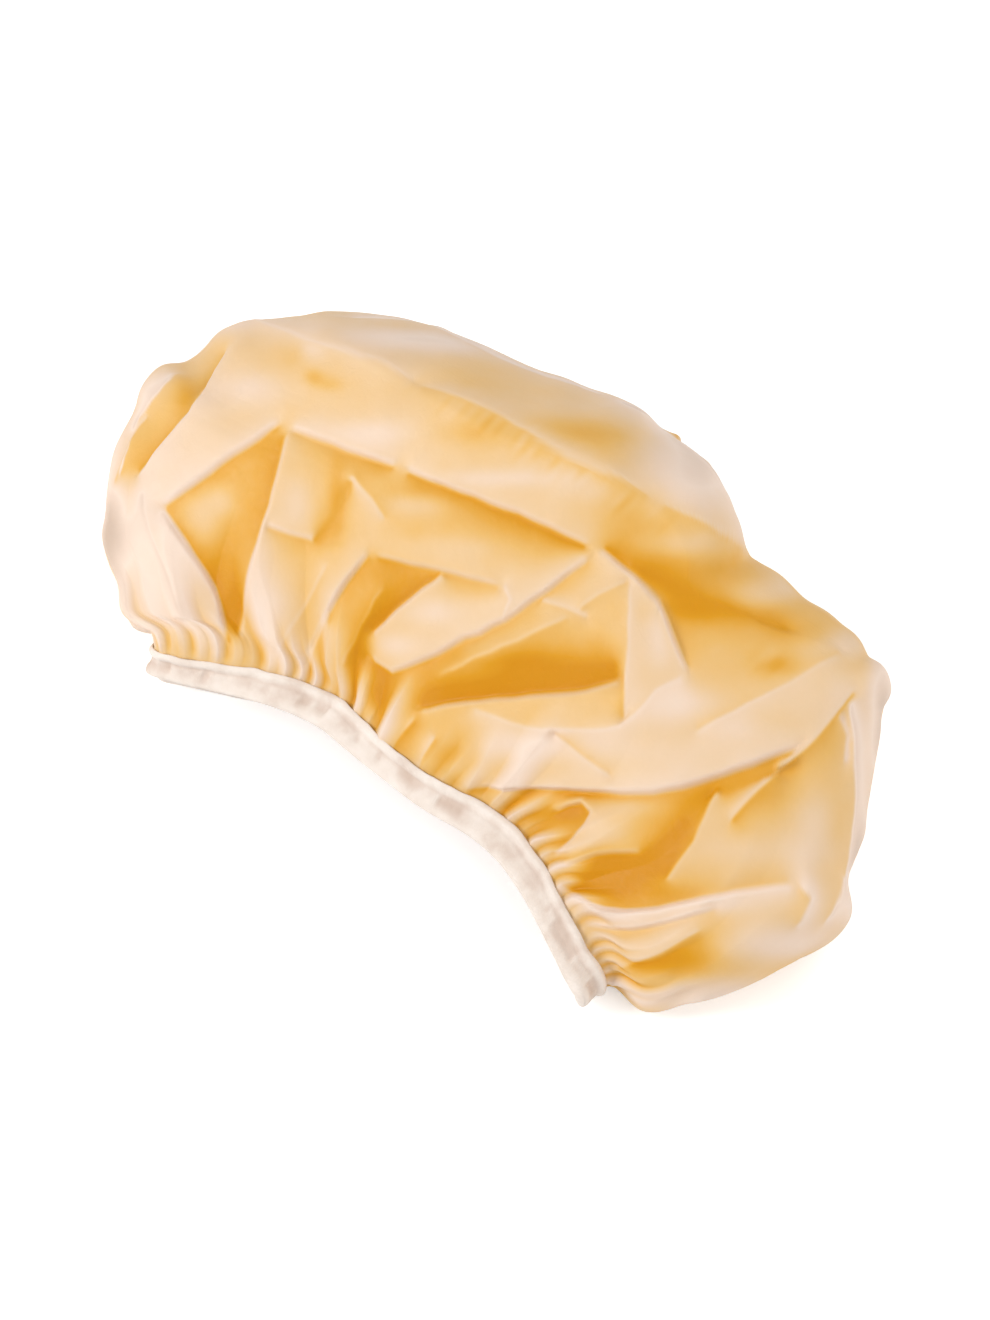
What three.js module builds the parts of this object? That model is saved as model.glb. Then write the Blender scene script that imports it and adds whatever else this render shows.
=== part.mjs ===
// A shower cap lying on its side: a puffed outer film, a loose lining, and a bound elastic hem.
// Millimetres, +Z up. The mouth faces -Y and the long side of the cap runs along X.
import * as THREE from 'three';

// Plan of the puffed cap, from the middle of the mouth's width
const LEFT_REACH = 158;
const RIGHT_REACH = 150;
const FRONT_REACH = 99;
const BACK_REACH = 82;
const CROWN_OFFSET = 22;

// Heights of the puffed cap above the surface that it lies on
const RIDGE_HEIGHT = 95;
const LEFT_SIDE_HEIGHT = 35;
const RIGHT_SIDE_HEIGHT = 24;
const CROWN_HEIGHT = 20;
const RIDGE_SET_BACK = 21;

// Mouth, measured on the middle line of the hem
const HEM_HALF_WIDTH = 96;
const HEM_OFFSET = 8;
const LIP_REACH = 67;
const LIP_HEIGHT = 22;
const LIP_SET_BACK = 17;
const HEM_END_HEIGHT = 11;

// Layers
const FILM_THICKNESS = 0.5;
const LINING_THICKNESS = 0.5;
const LAYER_AIR = 1.1;

// Hem: a tape folded over the edges of both layers, with a flat elastic inside
const TAPE_WIDTH = 12;
const TAPE_THICKNESS = 0.6;
const ELASTIC_WIDTH = 7;
const ELASTIC_THICKNESS = 1;
const HEM_CLEARANCE = 0.3;
const LAYER_TUCK = 8;

// Gathers and folds
const GATHER_DEPTH = 2.6;
const FOLD_HEIGHT = 8;
const FOLD_WIDTH = 26;

// Shape of the plan outline, the cross-sections and the ridge
const LEFT_FRONT_POWER = 3;
const RIGHT_FRONT_POWER = 2.6;
const LEFT_BACK_POWER = 1.9;
const RIGHT_BACK_POWER = 2;
const SECTION_POWER_SHARE = 0.78;
const MOUTH_POWER_SHARE = 0.65;
const CROWN_POWER_SHARE = 0.9;
const UNDERSIDE_POWER_SHARE = 0.64;
const UNDERSIDE_FLAT_SHARE = 0.22;
const RIDGE_ALONG_SHARE = 0.56;
const RIDGE_SLANT_SHARE = 0.16;
const RIGHT_NARROWING_SHARE = 0.145;
const FRONT_BULGE_SHARE = 0.45;
const TAPE_TILT_SHARE = 0.21;

// Grid: columns round the cap, rows from the hem (0) to the crown (1)
const TOP_COLUMNS = 34;
const UNDER_COLUMNS = 16;
const ROW_SHARES = [0.075, 0.13, 0.2, 0.27, 0.34, 0.41, 0.48, 0.56, 0.68, 0.84];
const COLUMN_CROWDING_SHARE = 0.07;
const GATHER_RISE_SHARE = 0.09;
const GATHER_REACH_SHARE = 0.34;
const GATHER_SWING_SHARE = 0.3;
const GATHER_SWING_TURNS = 3.5;
const SLOPE_STEP_SHARE = 0.002;

// Main folds. A path goes [round, along]: round is 0 at the right end of the hem, 0.5 at its
// top and 1 at its left end, and along is 0 at the hem and 1 at the crown. Height is a share of
// FOLD_HEIGHT, negative for a valley. Widths are shares of FOLD_WIDTH: hem side, crown side.
const FOLD_SHARES = [
  { // crest of the long roll
    path: [[0.95, 0.49], [0.84, 0.52], [0.7, 0.56], [0.5, 0.57], [0.28, 0.56], [0.13, 0.56]],
    height: 0.55, widths: [0.75, 1.7],
  },
  { // valley under the roll
    path: [[0.7, 0.38], [0.61, 0.42], [0.49, 0.45], [0.4, 0.44], [0.32, 0.44], [0.2, 0.5]],
    height: -1.3, widths: [1, 0.6],
  },
  { // crest that crosses the right of the valley
    path: [[0.44, 0.44], [0.39, 0.42], [0.35, 0.36], [0.31, 0.26]],
    height: 0.75, widths: [0.8, 0.5],
  },
  { // deep valley beside the left lobe
    path: [[0.87, 0.48], [0.84, 0.38], [0.87, 0.24], [0.9, 0.12]],
    height: -0.95, widths: [0.55, 0.55],
  },
  { // upper edge of the left diamond panel
    path: [[0.86, 0.21], [0.78, 0.31], [0.72, 0.41]],
    height: 0.7, widths: [0.5, 0.9],
  },
  { // valley at the right of the diamond panel
    path: [[0.73, 0.39], [0.71, 0.25], [0.75, 0.07]],
    height: -0.7, widths: [0.45, 0.45],
  },
  { // pale panel between the two left valleys
    path: [[0.67, 0.37], [0.66, 0.24], [0.68, 0.1]],
    height: 0.5, widths: [0.5, 0.5],
  },
  { // valley that ends in the middle gathers
    path: [[0.61, 0.32], [0.61, 0.2], [0.62, 0.06]],
    height: -0.75, widths: [0.4, 0.4],
  },
  { // middle flap
    path: [[0.62, 0.29], [0.56, 0.28], [0.5, 0.32]],
    height: 0.6, widths: [0.35, 0.8],
  },
  { // long crest from the flap down to the hem
    path: [[0.44, 0.43], [0.48, 0.3], [0.54, 0.12]],
    height: 0.8, widths: [0.55, 0.55],
  },
  { // big valley right of the middle
    path: [[0.51, 0.07], [0.47, 0.19], [0.42, 0.28], [0.35, 0.34]],
    height: -1, widths: [0.55, 0.55],
  },
  { // big roll right of the middle
    path: [[0.46, 0.1], [0.38, 0.19], [0.31, 0.27], [0.24, 0.36], [0.17, 0.49]],
    height: 1, widths: [0.6, 0.6],
  },
  { // line under the big roll
    path: [[0.41, 0.05], [0.33, 0.13], [0.26, 0.23], [0.17, 0.39]],
    height: -0.8, widths: [0.5, 0.4],
  },
  { // pocket near the right end of the hem
    path: [[0.26, 0.04], [0.21, 0.1], [0.2, 0.17], [0.2, 0.26]],
    height: -0.9, widths: [0.5, 0.5],
  },
  { // pale crest under the pocket
    path: [[0.22, 0.04], [0.16, 0.1], [0.13, 0.2], [0.09, 0.32]],
    height: 0.75, widths: [0.5, 0.5],
  },
  { // lowest valley on the right lobe
    path: [[0.16, 0.04], [0.11, 0.12], [0.07, 0.22]],
    height: -0.5, widths: [0.45, 0.45],
  },
  { // folds behind the roll, from left to right
    path: [[0.87, 0.6], [0.8, 0.74], [0.68, 0.93]],
    height: 0.6, widths: [0.8, 0.8],
  },
  {
    path: [[0.76, 0.63], [0.7, 0.76], [0.6, 0.92]],
    height: -0.6, widths: [0.6, 0.6],
  },
  {
    path: [[0.62, 0.62], [0.58, 0.76], [0.53, 0.93]],
    height: 0.6, widths: [0.8, 0.8],
  },
  {
    path: [[0.45, 0.62], [0.46, 0.76], [0.49, 0.92]],
    height: -0.6, widths: [0.7, 0.7],
  },
  {
    path: [[0.3, 0.62], [0.35, 0.76], [0.42, 0.92]],
    height: 0.7, widths: [0.9, 0.9],
  },
  {
    path: [[0.17, 0.6], [0.22, 0.74], [0.32, 0.92]],
    height: -0.5, widths: [0.6, 0.6],
  },
];

const COLUMNS = TOP_COLUMNS + UNDER_COLUMNS;
const HALF_TURN = Math.PI;
const FULL_TURN = 2 * Math.PI;

function smooth(value) {
  const share = Math.min(Math.max(value, 0), 1);
  return share * share * (3 - 2 * share);
}

function blend(from, to, share) {
  return from + (to - from) * share;
}

// Thickness of the whole hem, from the layers that the folded tape holds
function hemThickness() {
  const held = FILM_THICKNESS + LINING_THICKNESS + ELASTIC_THICKNESS;
  return held + 2 * TAPE_THICKNESS + 4 * HEM_CLEARANCE;
}

// Position round the cap: 0 to 1 goes over the top from right to left, 1 to 2 comes back below
function columnRound(column) {
  if (column < TOP_COLUMNS) return column / TOP_COLUMNS;
  return 1 + (column - TOP_COLUMNS) / UNDER_COLUMNS;
}

// Half width and depth of the plan outline on one side of the cap
function planOutline(isRight, along) {
  const reach = isRight ? RIGHT_REACH : LEFT_REACH;
  const frontPower = isRight ? RIGHT_FRONT_POWER : LEFT_FRONT_POWER;
  const backPower = isRight ? RIGHT_BACK_POWER : LEFT_BACK_POWER;
  const hemAngle = -Math.acos((HEM_HALF_WIDTH / reach) ** (frontPower / 2));
  const angle = blend(hemAngle, HALF_TURN / 2, along);
  const power = angle < 0 ? frontPower : backPower;
  const depth = angle < 0 ? -FRONT_REACH : BACK_REACH;
  return {
    halfWidth: reach * Math.abs(Math.cos(angle)) ** (2 / power),
    depth: depth * Math.abs(Math.sin(angle)) ** (2 / power),
  };
}

// The unfolded skin of the cap, as a point for each place round it and along it
function plainSkin(round, along) {
  const angle = HALF_TURN * round + HALF_TURN * COLUMN_CROWDING_SHARE * Math.sin(FULL_TURN * round);
  const across = Math.cos(angle);
  const rise = Math.sin(angle);
  const isRight = across > 0;
  const isTop = rise >= 0;
  const outline = planOutline(isRight, along);

  const toRidge = Math.min(along / RIDGE_ALONG_SHARE, 1);
  const pastRidge = Math.max((along - RIDGE_ALONG_SHARE) / (1 - RIDGE_ALONG_SHARE), 0);
  const pastMiddle = smooth(2 * along - 1);
  const nearRidge = smooth(toRidge) * (1 - smooth(pastRidge));
  const turn = pastRidge * HALF_TURN / 2;

  const midHeight = isRight ? RIGHT_SIDE_HEIGHT : LEFT_SIDE_HEIGHT;
  const sideRise = Math.sin(Math.min(2 * along, 1) * HALF_TURN / 2);
  const frontSide = blend(HEM_END_HEIGHT, midHeight, sideRise);
  const side = blend(frontSide, CROWN_HEIGHT, smooth(pastRidge));
  const climb = blend(toRidge, Math.sin(toRidge * HALF_TURN / 2), FRONT_BULGE_SHARE);
  const frontTop = blend(LIP_HEIGHT, RIDGE_HEIGHT, climb);
  const top = pastRidge > 0 ? blend(CROWN_HEIGHT, RIDGE_HEIGHT, Math.cos(turn)) : frontTop;

  const frontY = blend(-LIP_REACH, RIDGE_SET_BACK, toRidge);
  const topY = pastRidge > 0 ? blend(RIDGE_SET_BACK, BACK_REACH, Math.sin(turn)) : frontY;
  const underY = topY + LIP_SET_BACK * (1 - smooth(along / RIDGE_ALONG_SHARE));

  const frontPower = blend(MOUTH_POWER_SHARE, SECTION_POWER_SHARE, smooth(toRidge));
  const power = blend(frontPower, CROWN_POWER_SHARE, smooth(pastRidge));
  const acrossShare = Math.abs(across) ** power;
  const narrowing = isRight ? RIGHT_NARROWING_SHARE * smooth(pastMiddle / 2 + along / 2) : 0;
  const halfWidth = outline.halfWidth * (1 - narrowing * Math.abs(across));
  const x = Math.sign(across) * halfWidth * acrossShare;

  let y = blend(isTop ? topY : underY, outline.depth, acrossShare ** 2);
  let z = 0;
  if (isTop) {
    const risePower = rise ** power;
    y += RIDGE_SLANT_SHARE * x * nearRidge * risePower;
    z = blend(side, top, risePower);
  } else {
    const floor = hemThickness() / 2 * (1 - smooth(along / GATHER_RISE_SHARE));
    const closing = 1 - Math.sqrt(1 - pastRidge ** 2);
    const drop = Math.abs(rise) ** UNDERSIDE_POWER_SHARE * (1 + UNDERSIDE_FLAT_SHARE);
    z = blend(blend(side, floor, Math.min(drop, 1)), side, closing);
  }
  const drift = blend(HEM_OFFSET, 0, smooth(2 * along)) - CROWN_OFFSET * pastMiddle;
  return new THREE.Vector3(x + drift, y, z);
}

// Outward direction of a skin, from the slopes round it and along it
function outwardAt(skin, round, along) {
  const back = Math.max(along - SLOPE_STEP_SHARE, 0);
  const slopeRound = skin(round + SLOPE_STEP_SHARE, along).sub(skin(round - SLOPE_STEP_SHARE, along));
  const slopeAlong = skin(round, along + SLOPE_STEP_SHARE).sub(skin(round, back));
  return slopeAlong.cross(slopeRound).normalize();
}

// Signed distance in the plan of the skin from a place to a fold's path, and how near an end it is
function nearestOnFold(fold, round, along, point) {
  let best = { distance: Infinity };
  const lastLeg = fold.path.length - 1;
  for (let leg = 0; leg < lastLeg; leg += 1) {
    const [startRound, startAlong] = fold.path[leg];
    const [endRound, endAlong] = fold.path[leg + 1];
    const start = plainSkin(startRound, startAlong);
    const line = new THREE.Line3(start, plainSkin(endRound, endAlong));
    const legShare = line.closestPointToPointParameter(point, true);
    const distance = line.at(legShare, new THREE.Vector3()).distanceTo(point);
    if (distance < best.distance) {
      const cross = (endRound - startRound) * (along - startAlong)
        - (endAlong - startAlong) * (round - startRound);
      const crownSide = cross * Math.sign(endRound - startRound || 1) > 0;
      best = { distance, crownSide, pathShare: (leg + legShare) / lastLeg };
    }
  }
  return best;
}

// Height that the folds add to the skin at one place
function foldHeight(round, along, point) {
  let height = 0;
  for (const fold of FOLD_SHARES) {
    const near = nearestOnFold(fold, round, along, point);
    const width = FOLD_WIDTH * fold.widths[near.crownSide ? 1 : 0];
    const closeness = Math.max(1 - near.distance / width, 0);
    const middle = Math.sin(HALF_TURN * near.pathShare);
    height += FOLD_HEIGHT * fold.height * closeness ** 1.5 * blend(0.45, 1, Math.abs(middle));
  }
  return height;
}

// Depth of the gathers: neighbouring columns lie in and out, deepest just past the hem
function gatherHeight(column, along) {
  const risen = smooth(along / GATHER_RISE_SHARE);
  const fade = 1 - smooth((along - GATHER_RISE_SHARE) / GATHER_REACH_SHARE);
  const swing = 1 + GATHER_SWING_SHARE * Math.sin(GATHER_SWING_TURNS * FULL_TURN * column / COLUMNS);
  const inOrOut = column % 2 === 0 ? 1 : -1;
  return inOrOut * GATHER_DEPTH * swing * risen * fade;
}

// Frame of the folded tape at one place round the hem
function hemFrame(round) {
  const middle = plainSkin(round, 0);
  const before = plainSkin(round - SLOPE_STEP_SHARE, 0);
  const roundward = plainSkin(round + SLOPE_STEP_SHARE, 0).sub(before);
  const topness = round < 1 ? Math.sin(HALF_TURN * round) : 0;
  const tilt = HALF_TURN * TAPE_TILT_SHARE * smooth(topness);
  const towardMouth = new THREE.Vector3(0, -Math.cos(tilt), -Math.sin(tilt));
  const outward = roundward.cross(towardMouth).normalize();
  return { middle, towardMouth, outward };
}

function hemPoint(frame, towardMouth, outward) {
  return frame.middle.clone()
    .addScaledVector(frame.towardMouth, towardMouth)
    .addScaledVector(frame.outward, outward);
}

// Distance from the hem's middle line out to the film's outer face
function filmOutward() {
  return hemThickness() / 2 - TAPE_THICKNESS - HEM_CLEARANCE;
}

// One row of the folded outer skin; the first two rows are the plain strip inside the tape
function skinRow(along) {
  const row = [];
  for (let column = 0; column < COLUMNS; column += 1) {
    const round = columnRound(column);
    const point = plainSkin(round, along);
    const folded = round < 1 ? foldHeight(round, along, point) : 0;
    const lift = folded + gatherHeight(column, along);
    row.push(point.addScaledVector(outwardAt(plainSkin, round, along), lift));
    point.z = Math.max(point.z, 0);
  }
  return row;
}

function stripRow(towardMouth, outward) {
  const row = [];
  for (let column = 0; column < COLUMNS; column += 1) {
    row.push(hemPoint(hemFrame(columnRound(column)), towardMouth, outward));
  }
  return row;
}

const skinRows = ROW_SHARES.map(skinRow);
const crownTip = plainSkin(0.5, 1);

// Outward direction of each vertex of the folded skin, averaged from its neighbours
const skinOutward = skinRows.map((row, index) => {
  const tipRow = row.map(() => crownTip);
  const hemRow = stripRow(-TAPE_WIDTH / 2, filmOutward());
  const above = skinRows[index + 1] ?? tipRow;
  const below = skinRows[index - 1] ?? hemRow;
  return row.map((point, column) => {
    const next = row[(column + 1) % COLUMNS];
    const previous = row[(column + COLUMNS - 1) % COLUMNS];
    const slopeRound = next.clone().sub(previous);
    const slopeAlong = above[column].clone().sub(below[column]);
    return slopeAlong.cross(slopeRound).normalize();
  });
});

// Rows and crown tip of a skin that lies a given depth below the film's outer face
function insetSkin(depth, stripOutward) {
  const strip = [
    stripRow(TAPE_WIDTH / 2 - LAYER_TUCK / 2, stripOutward),
    stripRow(-TAPE_WIDTH / 2 - HEM_CLEARANCE, stripOutward),
  ];
  const rows = skinRows.map((row, index) => row.map(
    (point, column) => point.clone().addScaledVector(skinOutward[index][column], -depth),
  ));
  const tip = crownTip.clone().add(new THREE.Vector3(0, -depth, 0));
  return { rows: [...strip, ...rows], tip };
}

function geometryFrom(points, triangles) {
  const geometry = new THREE.BufferGeometry();
  geometry.setFromPoints(points);
  geometry.setIndex(triangles);
  geometry.computeVertexNormals();
  return geometry;
}

// Two faces between neighbouring columns and rows of a skin. Past the tape their diagonal always
// ends at the foot of a pleat's crest, which keeps both flanks of the pleat alike.
function cellFaces(start, row, column, next) {
  const low = start + row * COLUMNS;
  const high = low + COLUMNS;
  const leansBack = row > 0 && column % 2 === 0;
  return leansBack
    ? [[low + column, high + column, high + next], [low + column, high + next, low + next]]
    : [[low + column, high + column, low + next], [low + next, high + column, high + next]];
}

// Closed sheet between an outer and an inner skin, open only at the mouth
function sheetGeometry(outer, inner) {
  const points = [...outer.rows.flat(), outer.tip, ...inner.rows.flat(), inner.tip];
  const rowCount = outer.rows.length;
  const innerStart = rowCount * COLUMNS + 1;
  const triangles = [];
  for (let column = 0; column < COLUMNS; column += 1) {
    const next = (column + 1) % COLUMNS;
    for (let row = 0; row < rowCount - 1; row += 1) {
      cellFaces(0, row, column, next).forEach((face) => triangles.push(...face));
      cellFaces(innerStart, row, column, next).forEach(([a, b, c]) => triangles.push(a, c, b));
    }
    const last = (rowCount - 1) * COLUMNS;
    const tip = rowCount * COLUMNS;
    triangles.push(last + column, tip, last + next);
    triangles.push(innerStart + last + column, innerStart + last + next, innerStart + tip);
    triangles.push(column, next, innerStart + column);
    triangles.push(next, innerStart + next, innerStart + column);
  }
  return geometryFrom(points, triangles);
}

// Closed ring round the hem from a section given as [towardMouth, outward] places. Every face is
// split along the same diagonal as the sheets, so that neighbouring faces keep their distance.
function hemRing(section) {
  const points = [];
  const triangles = [];
  for (let column = 0; column < COLUMNS; column += 1) {
    const frame = hemFrame(columnRound(column));
    section.forEach(([towardMouth, outward]) => points.push(hemPoint(frame, towardMouth, outward)));
    const here = column * section.length;
    const there = ((column + 1) % COLUMNS) * section.length;
    for (let corner = 0; corner < section.length; corner += 1) {
      const next = (corner + 1) % section.length;
      const towardFold = section[next][0] - section[corner][0];
      if ((towardFold || section[next][1] - section[corner][1]) > 0) {
        triangles.push(here + corner, here + next, there + next);
        triangles.push(here + corner, there + next, there + corner);
      } else {
        triangles.push(here + corner, here + next, there + corner);
        triangles.push(here + next, there + next, there + corner);
      }
    }
  }
  return geometryFrom(points, triangles);
}

// The tape is folded in a U: outer leg, rounded fold at the mouth, inner leg
function bindingGeometry() {
  const outer = hemThickness() / 2;
  const inner = outer - TAPE_THICKNESS;
  const rim = -TAPE_WIDTH / 2;
  const fold = TAPE_WIDTH / 2;
  return hemRing([
    [rim, outer], [rim, inner],
    [fold - outer, inner], [fold - outer, -inner],
    [rim, -inner], [rim, -outer],
    [fold - outer / 2, -outer], [fold, -outer / 2],
    [fold, outer / 2], [fold - outer / 2, outer],
  ]);
}

function elasticGeometry() {
  const front = TAPE_WIDTH / 2 - hemThickness() / 2 - HEM_CLEARANCE;
  const innerFace = -hemThickness() / 2 + TAPE_THICKNESS + HEM_CLEARANCE;
  const outerFace = innerFace + ELASTIC_THICKNESS;
  const back = front - ELASTIC_WIDTH;
  return hemRing([[back, outerFace], [back, innerFace], [front, innerFace], [front, outerFace]]);
}

function namedMesh(name, geometry, color, roughness) {
  const material = new THREE.MeshStandardMaterial({ color, roughness, metalness: 0 });
  const mesh = new THREE.Mesh(geometry, material);
  mesh.name = name;
  return mesh;
}

function makeOuterFilm() {
  const outer = insetSkin(0, filmOutward());
  const inner = insetSkin(FILM_THICKNESS, filmOutward() - FILM_THICKNESS);
  return namedMesh('outer_film', sheetGeometry(outer, inner), 0xeed8c2, 0.42);
}

function makeInnerLining() {
  const depth = FILM_THICKNESS + LAYER_AIR;
  const outward = filmOutward() - FILM_THICKNESS - HEM_CLEARANCE;
  const outer = insetSkin(depth, outward);
  const inner = insetSkin(depth + LINING_THICKNESS, outward - LINING_THICKNESS);
  return namedMesh('inner_lining', sheetGeometry(outer, inner), 0xf0b24a, 0.5);
}

const cap = new THREE.Group();
cap.add(makeOuterFilm());
cap.add(makeInnerLining());
cap.add(namedMesh('hem_binding', bindingGeometry(), 0xf7ece2, 0.8));
cap.add(namedMesh('hem_elastic', elasticGeometry(), 0xf2efe9, 0.7));

// The origin is the middle of the cap's box, on the surface that it lies on
const box = new THREE.Box3().setFromObject(cap);
const centre = box.getCenter(new THREE.Vector3());
cap.position.set(-centre.x, -centre.y, -box.min.z);

export default cap;
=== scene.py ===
import math

import bpy
import numpy as np
from mathutils import Matrix, Vector


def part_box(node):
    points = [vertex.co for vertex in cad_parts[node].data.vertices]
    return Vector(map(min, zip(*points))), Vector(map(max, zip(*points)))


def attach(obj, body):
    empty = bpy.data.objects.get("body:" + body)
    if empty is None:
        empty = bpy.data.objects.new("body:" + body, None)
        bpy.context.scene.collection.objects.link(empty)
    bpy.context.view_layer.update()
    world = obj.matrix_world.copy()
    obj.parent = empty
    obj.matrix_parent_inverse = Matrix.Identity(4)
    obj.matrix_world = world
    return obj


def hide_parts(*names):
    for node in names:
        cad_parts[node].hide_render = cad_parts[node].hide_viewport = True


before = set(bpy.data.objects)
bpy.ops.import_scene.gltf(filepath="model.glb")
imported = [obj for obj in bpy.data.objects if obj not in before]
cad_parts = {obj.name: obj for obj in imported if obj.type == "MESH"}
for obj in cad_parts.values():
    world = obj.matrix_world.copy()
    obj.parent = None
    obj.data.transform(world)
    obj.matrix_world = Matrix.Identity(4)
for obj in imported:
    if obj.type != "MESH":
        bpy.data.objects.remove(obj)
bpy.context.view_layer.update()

MM = 0.001
HALF_TURN = math.pi
FULL_TURN = 2 * math.pi

# Sizes of the puffed cap and its mouth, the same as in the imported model
LEFT_REACH = 158 * MM
RIGHT_REACH = 150 * MM
FRONT_REACH = 99 * MM
BACK_REACH = 82 * MM
CROWN_OFFSET = 22 * MM
RIDGE_HEIGHT = 95 * MM
LEFT_SIDE_HEIGHT = 35 * MM
RIGHT_SIDE_HEIGHT = 24 * MM
CROWN_HEIGHT = 20 * MM
RIDGE_SET_BACK = 21 * MM
HEM_HALF_WIDTH = 96 * MM
HEM_OFFSET = 8 * MM
LIP_REACH = 67 * MM
LIP_HEIGHT = 22 * MM
LIP_SET_BACK = 17 * MM
HEM_END_HEIGHT = 11 * MM
HEM_THICKNESS = 4.4 * MM
TAPE_WIDTH = 12 * MM
TAPE_THICKNESS = 0.6 * MM
LEFT_FRONT_POWER = 3
RIGHT_FRONT_POWER = 2.6
LEFT_BACK_POWER = 1.9
RIGHT_BACK_POWER = 2
SECTION_POWER = 0.78
MOUTH_POWER = 0.65
CROWN_POWER = 0.9
UNDERSIDE_POWER = 0.64
UNDERSIDE_FLAT = 0.22
RIDGE_ALONG = 0.56
RIDGE_SLANT = 0.16
RIGHT_NARROWING = 0.145
FRONT_BULGE = 0.45
COLUMN_CROWDING = 0.07
GATHER_RISE = 0.09

# Camera of the photograph, in the frame of the formulas above
PHOTO_WIDTH, PHOTO_HEIGHT = 990, 1320
LENS_MM, SENSOR_MM = 85.0, 36.0
AZIMUTH = math.radians(41.6)
ELEVATION = math.radians(55.0)
METRES_PER_PIXEL = 0.3305 * MM
LIP_PIXEL = (420, 795)
LIP_POINT = Vector((20 * MM, -71 * MM, 22 * MM))

# Grid of the film: places round it and along it, and where the tape and the hem strip end
TOP_COLUMNS = 690
UNDER_COLUMNS = 150
COLUMN_POWER = 1.3
ROWS = 290
ROW_CROWDING = 0.24
TUCK_ALONG = -0.012
TIP_ALONG = 0.995
STRIP_END = 0.075
TAPE_EDGE_ALONG = 0.024
RIM_FADE = 0.16


def smooth(value):
    share = np.clip(value, 0.0, 1.0)
    return share * share * (3 - 2 * share)


def blend(start, end, share):
    return start + (end - start) * share


# Skin of the cap: around is 0 at the right end of the hem, 1 at its left end over the top, and
# goes on to 2 below; along is 0 at the hem and 1 at the crown

OUTLINE_ROUNDING = 0.05
ROUNDING_SAMPLES = 7


def plan_outline(is_right, along):
    """Half width and depth of the widest line, rounded off where its front meets its back."""
    reach = np.where(is_right, RIGHT_REACH, LEFT_REACH)
    front_power = np.where(is_right, RIGHT_FRONT_POWER, LEFT_FRONT_POWER)
    back_power = np.where(is_right, RIGHT_BACK_POWER, LEFT_BACK_POWER)
    hem_angle = -np.arccos((HEM_HALF_WIDTH / reach) ** (front_power / 2))
    window = np.clip(np.minimum(along, 1 - along), 0, OUTLINE_ROUNDING)
    offsets = np.linspace(-1, 1, ROUNDING_SAMPLES)
    half_width, depth = 0, 0
    for offset in offsets:
        angle = blend(hem_angle, HALF_TURN / 2, along + offset * window)
        power = np.where(angle < 0, front_power, back_power)
        side = np.where(angle < 0, -FRONT_REACH, BACK_REACH)
        half_width = half_width + reach * np.abs(np.cos(angle)) ** (2 / power) / len(offsets)
        depth = depth + side * np.abs(np.sin(angle)) ** (2 / power) / len(offsets)
    return half_width, depth


def plain_skin(around, along):
    around, along = np.broadcast_arrays(np.asarray(around, float), np.asarray(along, float))
    angle = HALF_TURN * around + HALF_TURN * COLUMN_CROWDING * np.sin(FULL_TURN * around)
    across, rise = np.cos(angle), np.sin(angle)
    is_right, is_top = across > 0, rise >= 0
    half_width, depth = plan_outline(is_right, along)

    to_ridge = np.clip(along / RIDGE_ALONG, 0, 1)
    past_ridge = np.clip((along - RIDGE_ALONG) / (1 - RIDGE_ALONG), 0, 1)
    past_middle = smooth(2 * along - 1)
    near_ridge = smooth(to_ridge) * (1 - smooth(past_ridge))
    turn = past_ridge * HALF_TURN / 2

    mid_height = np.where(is_right, RIGHT_SIDE_HEIGHT, LEFT_SIDE_HEIGHT)
    side_rise = np.sin(np.clip(2 * along, 0, 1) * HALF_TURN / 2)
    front_side = blend(HEM_END_HEIGHT, mid_height, side_rise)
    side = blend(front_side, CROWN_HEIGHT, smooth(past_ridge))
    climb = blend(to_ridge, np.sin(to_ridge * HALF_TURN / 2), FRONT_BULGE)
    front_top = blend(LIP_HEIGHT, RIDGE_HEIGHT, climb)
    top = np.where(past_ridge > 0, blend(CROWN_HEIGHT, RIDGE_HEIGHT, np.cos(turn)), front_top)

    front_y = blend(-LIP_REACH, RIDGE_SET_BACK, to_ridge)
    top_y = np.where(past_ridge > 0, blend(RIDGE_SET_BACK, BACK_REACH, np.sin(turn)), front_y)
    under_y = top_y + LIP_SET_BACK * (1 - smooth(along / RIDGE_ALONG))

    front_power = blend(MOUTH_POWER, SECTION_POWER, smooth(to_ridge))
    power = blend(front_power, CROWN_POWER, smooth(past_ridge))
    across_share = np.abs(across) ** power
    narrowing = np.where(is_right, RIGHT_NARROWING, 0) * smooth(past_middle / 2 + along / 2)
    x = np.sign(across) * half_width * (1 - narrowing * np.abs(across)) * across_share

    rise_power = np.abs(rise) ** power
    y = blend(np.where(is_top, top_y, under_y), depth, across_share ** 2)
    y = y + np.where(is_top, RIDGE_SLANT * x * near_ridge * rise_power, 0)
    floor = HEM_THICKNESS / 2 * (1 - smooth(along / GATHER_RISE))
    closing = 1 - np.sqrt(1 - past_ridge ** 2)
    drop = np.clip(np.abs(rise) ** UNDERSIDE_POWER * (1 + UNDERSIDE_FLAT), 0, 1)
    under_z = blend(blend(side, floor, drop), side, closing)
    z = np.where(is_top, blend(side, top, rise_power), under_z)
    drift = blend(HEM_OFFSET, 0, smooth(2 * along)) - CROWN_OFFSET * past_middle
    return np.stack([x + drift, y, z], -1)


LEAST_LENGTH = 1e-9


def unit(vectors):
    return vectors / np.maximum(np.linalg.norm(vectors, axis=-1, keepdims=True), LEAST_LENGTH)


SLOPE_STEP = 0.001
SPEED_STEP = 0.01
FIRST_ALONG, LAST_ALONG = 0.002, 0.99

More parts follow.
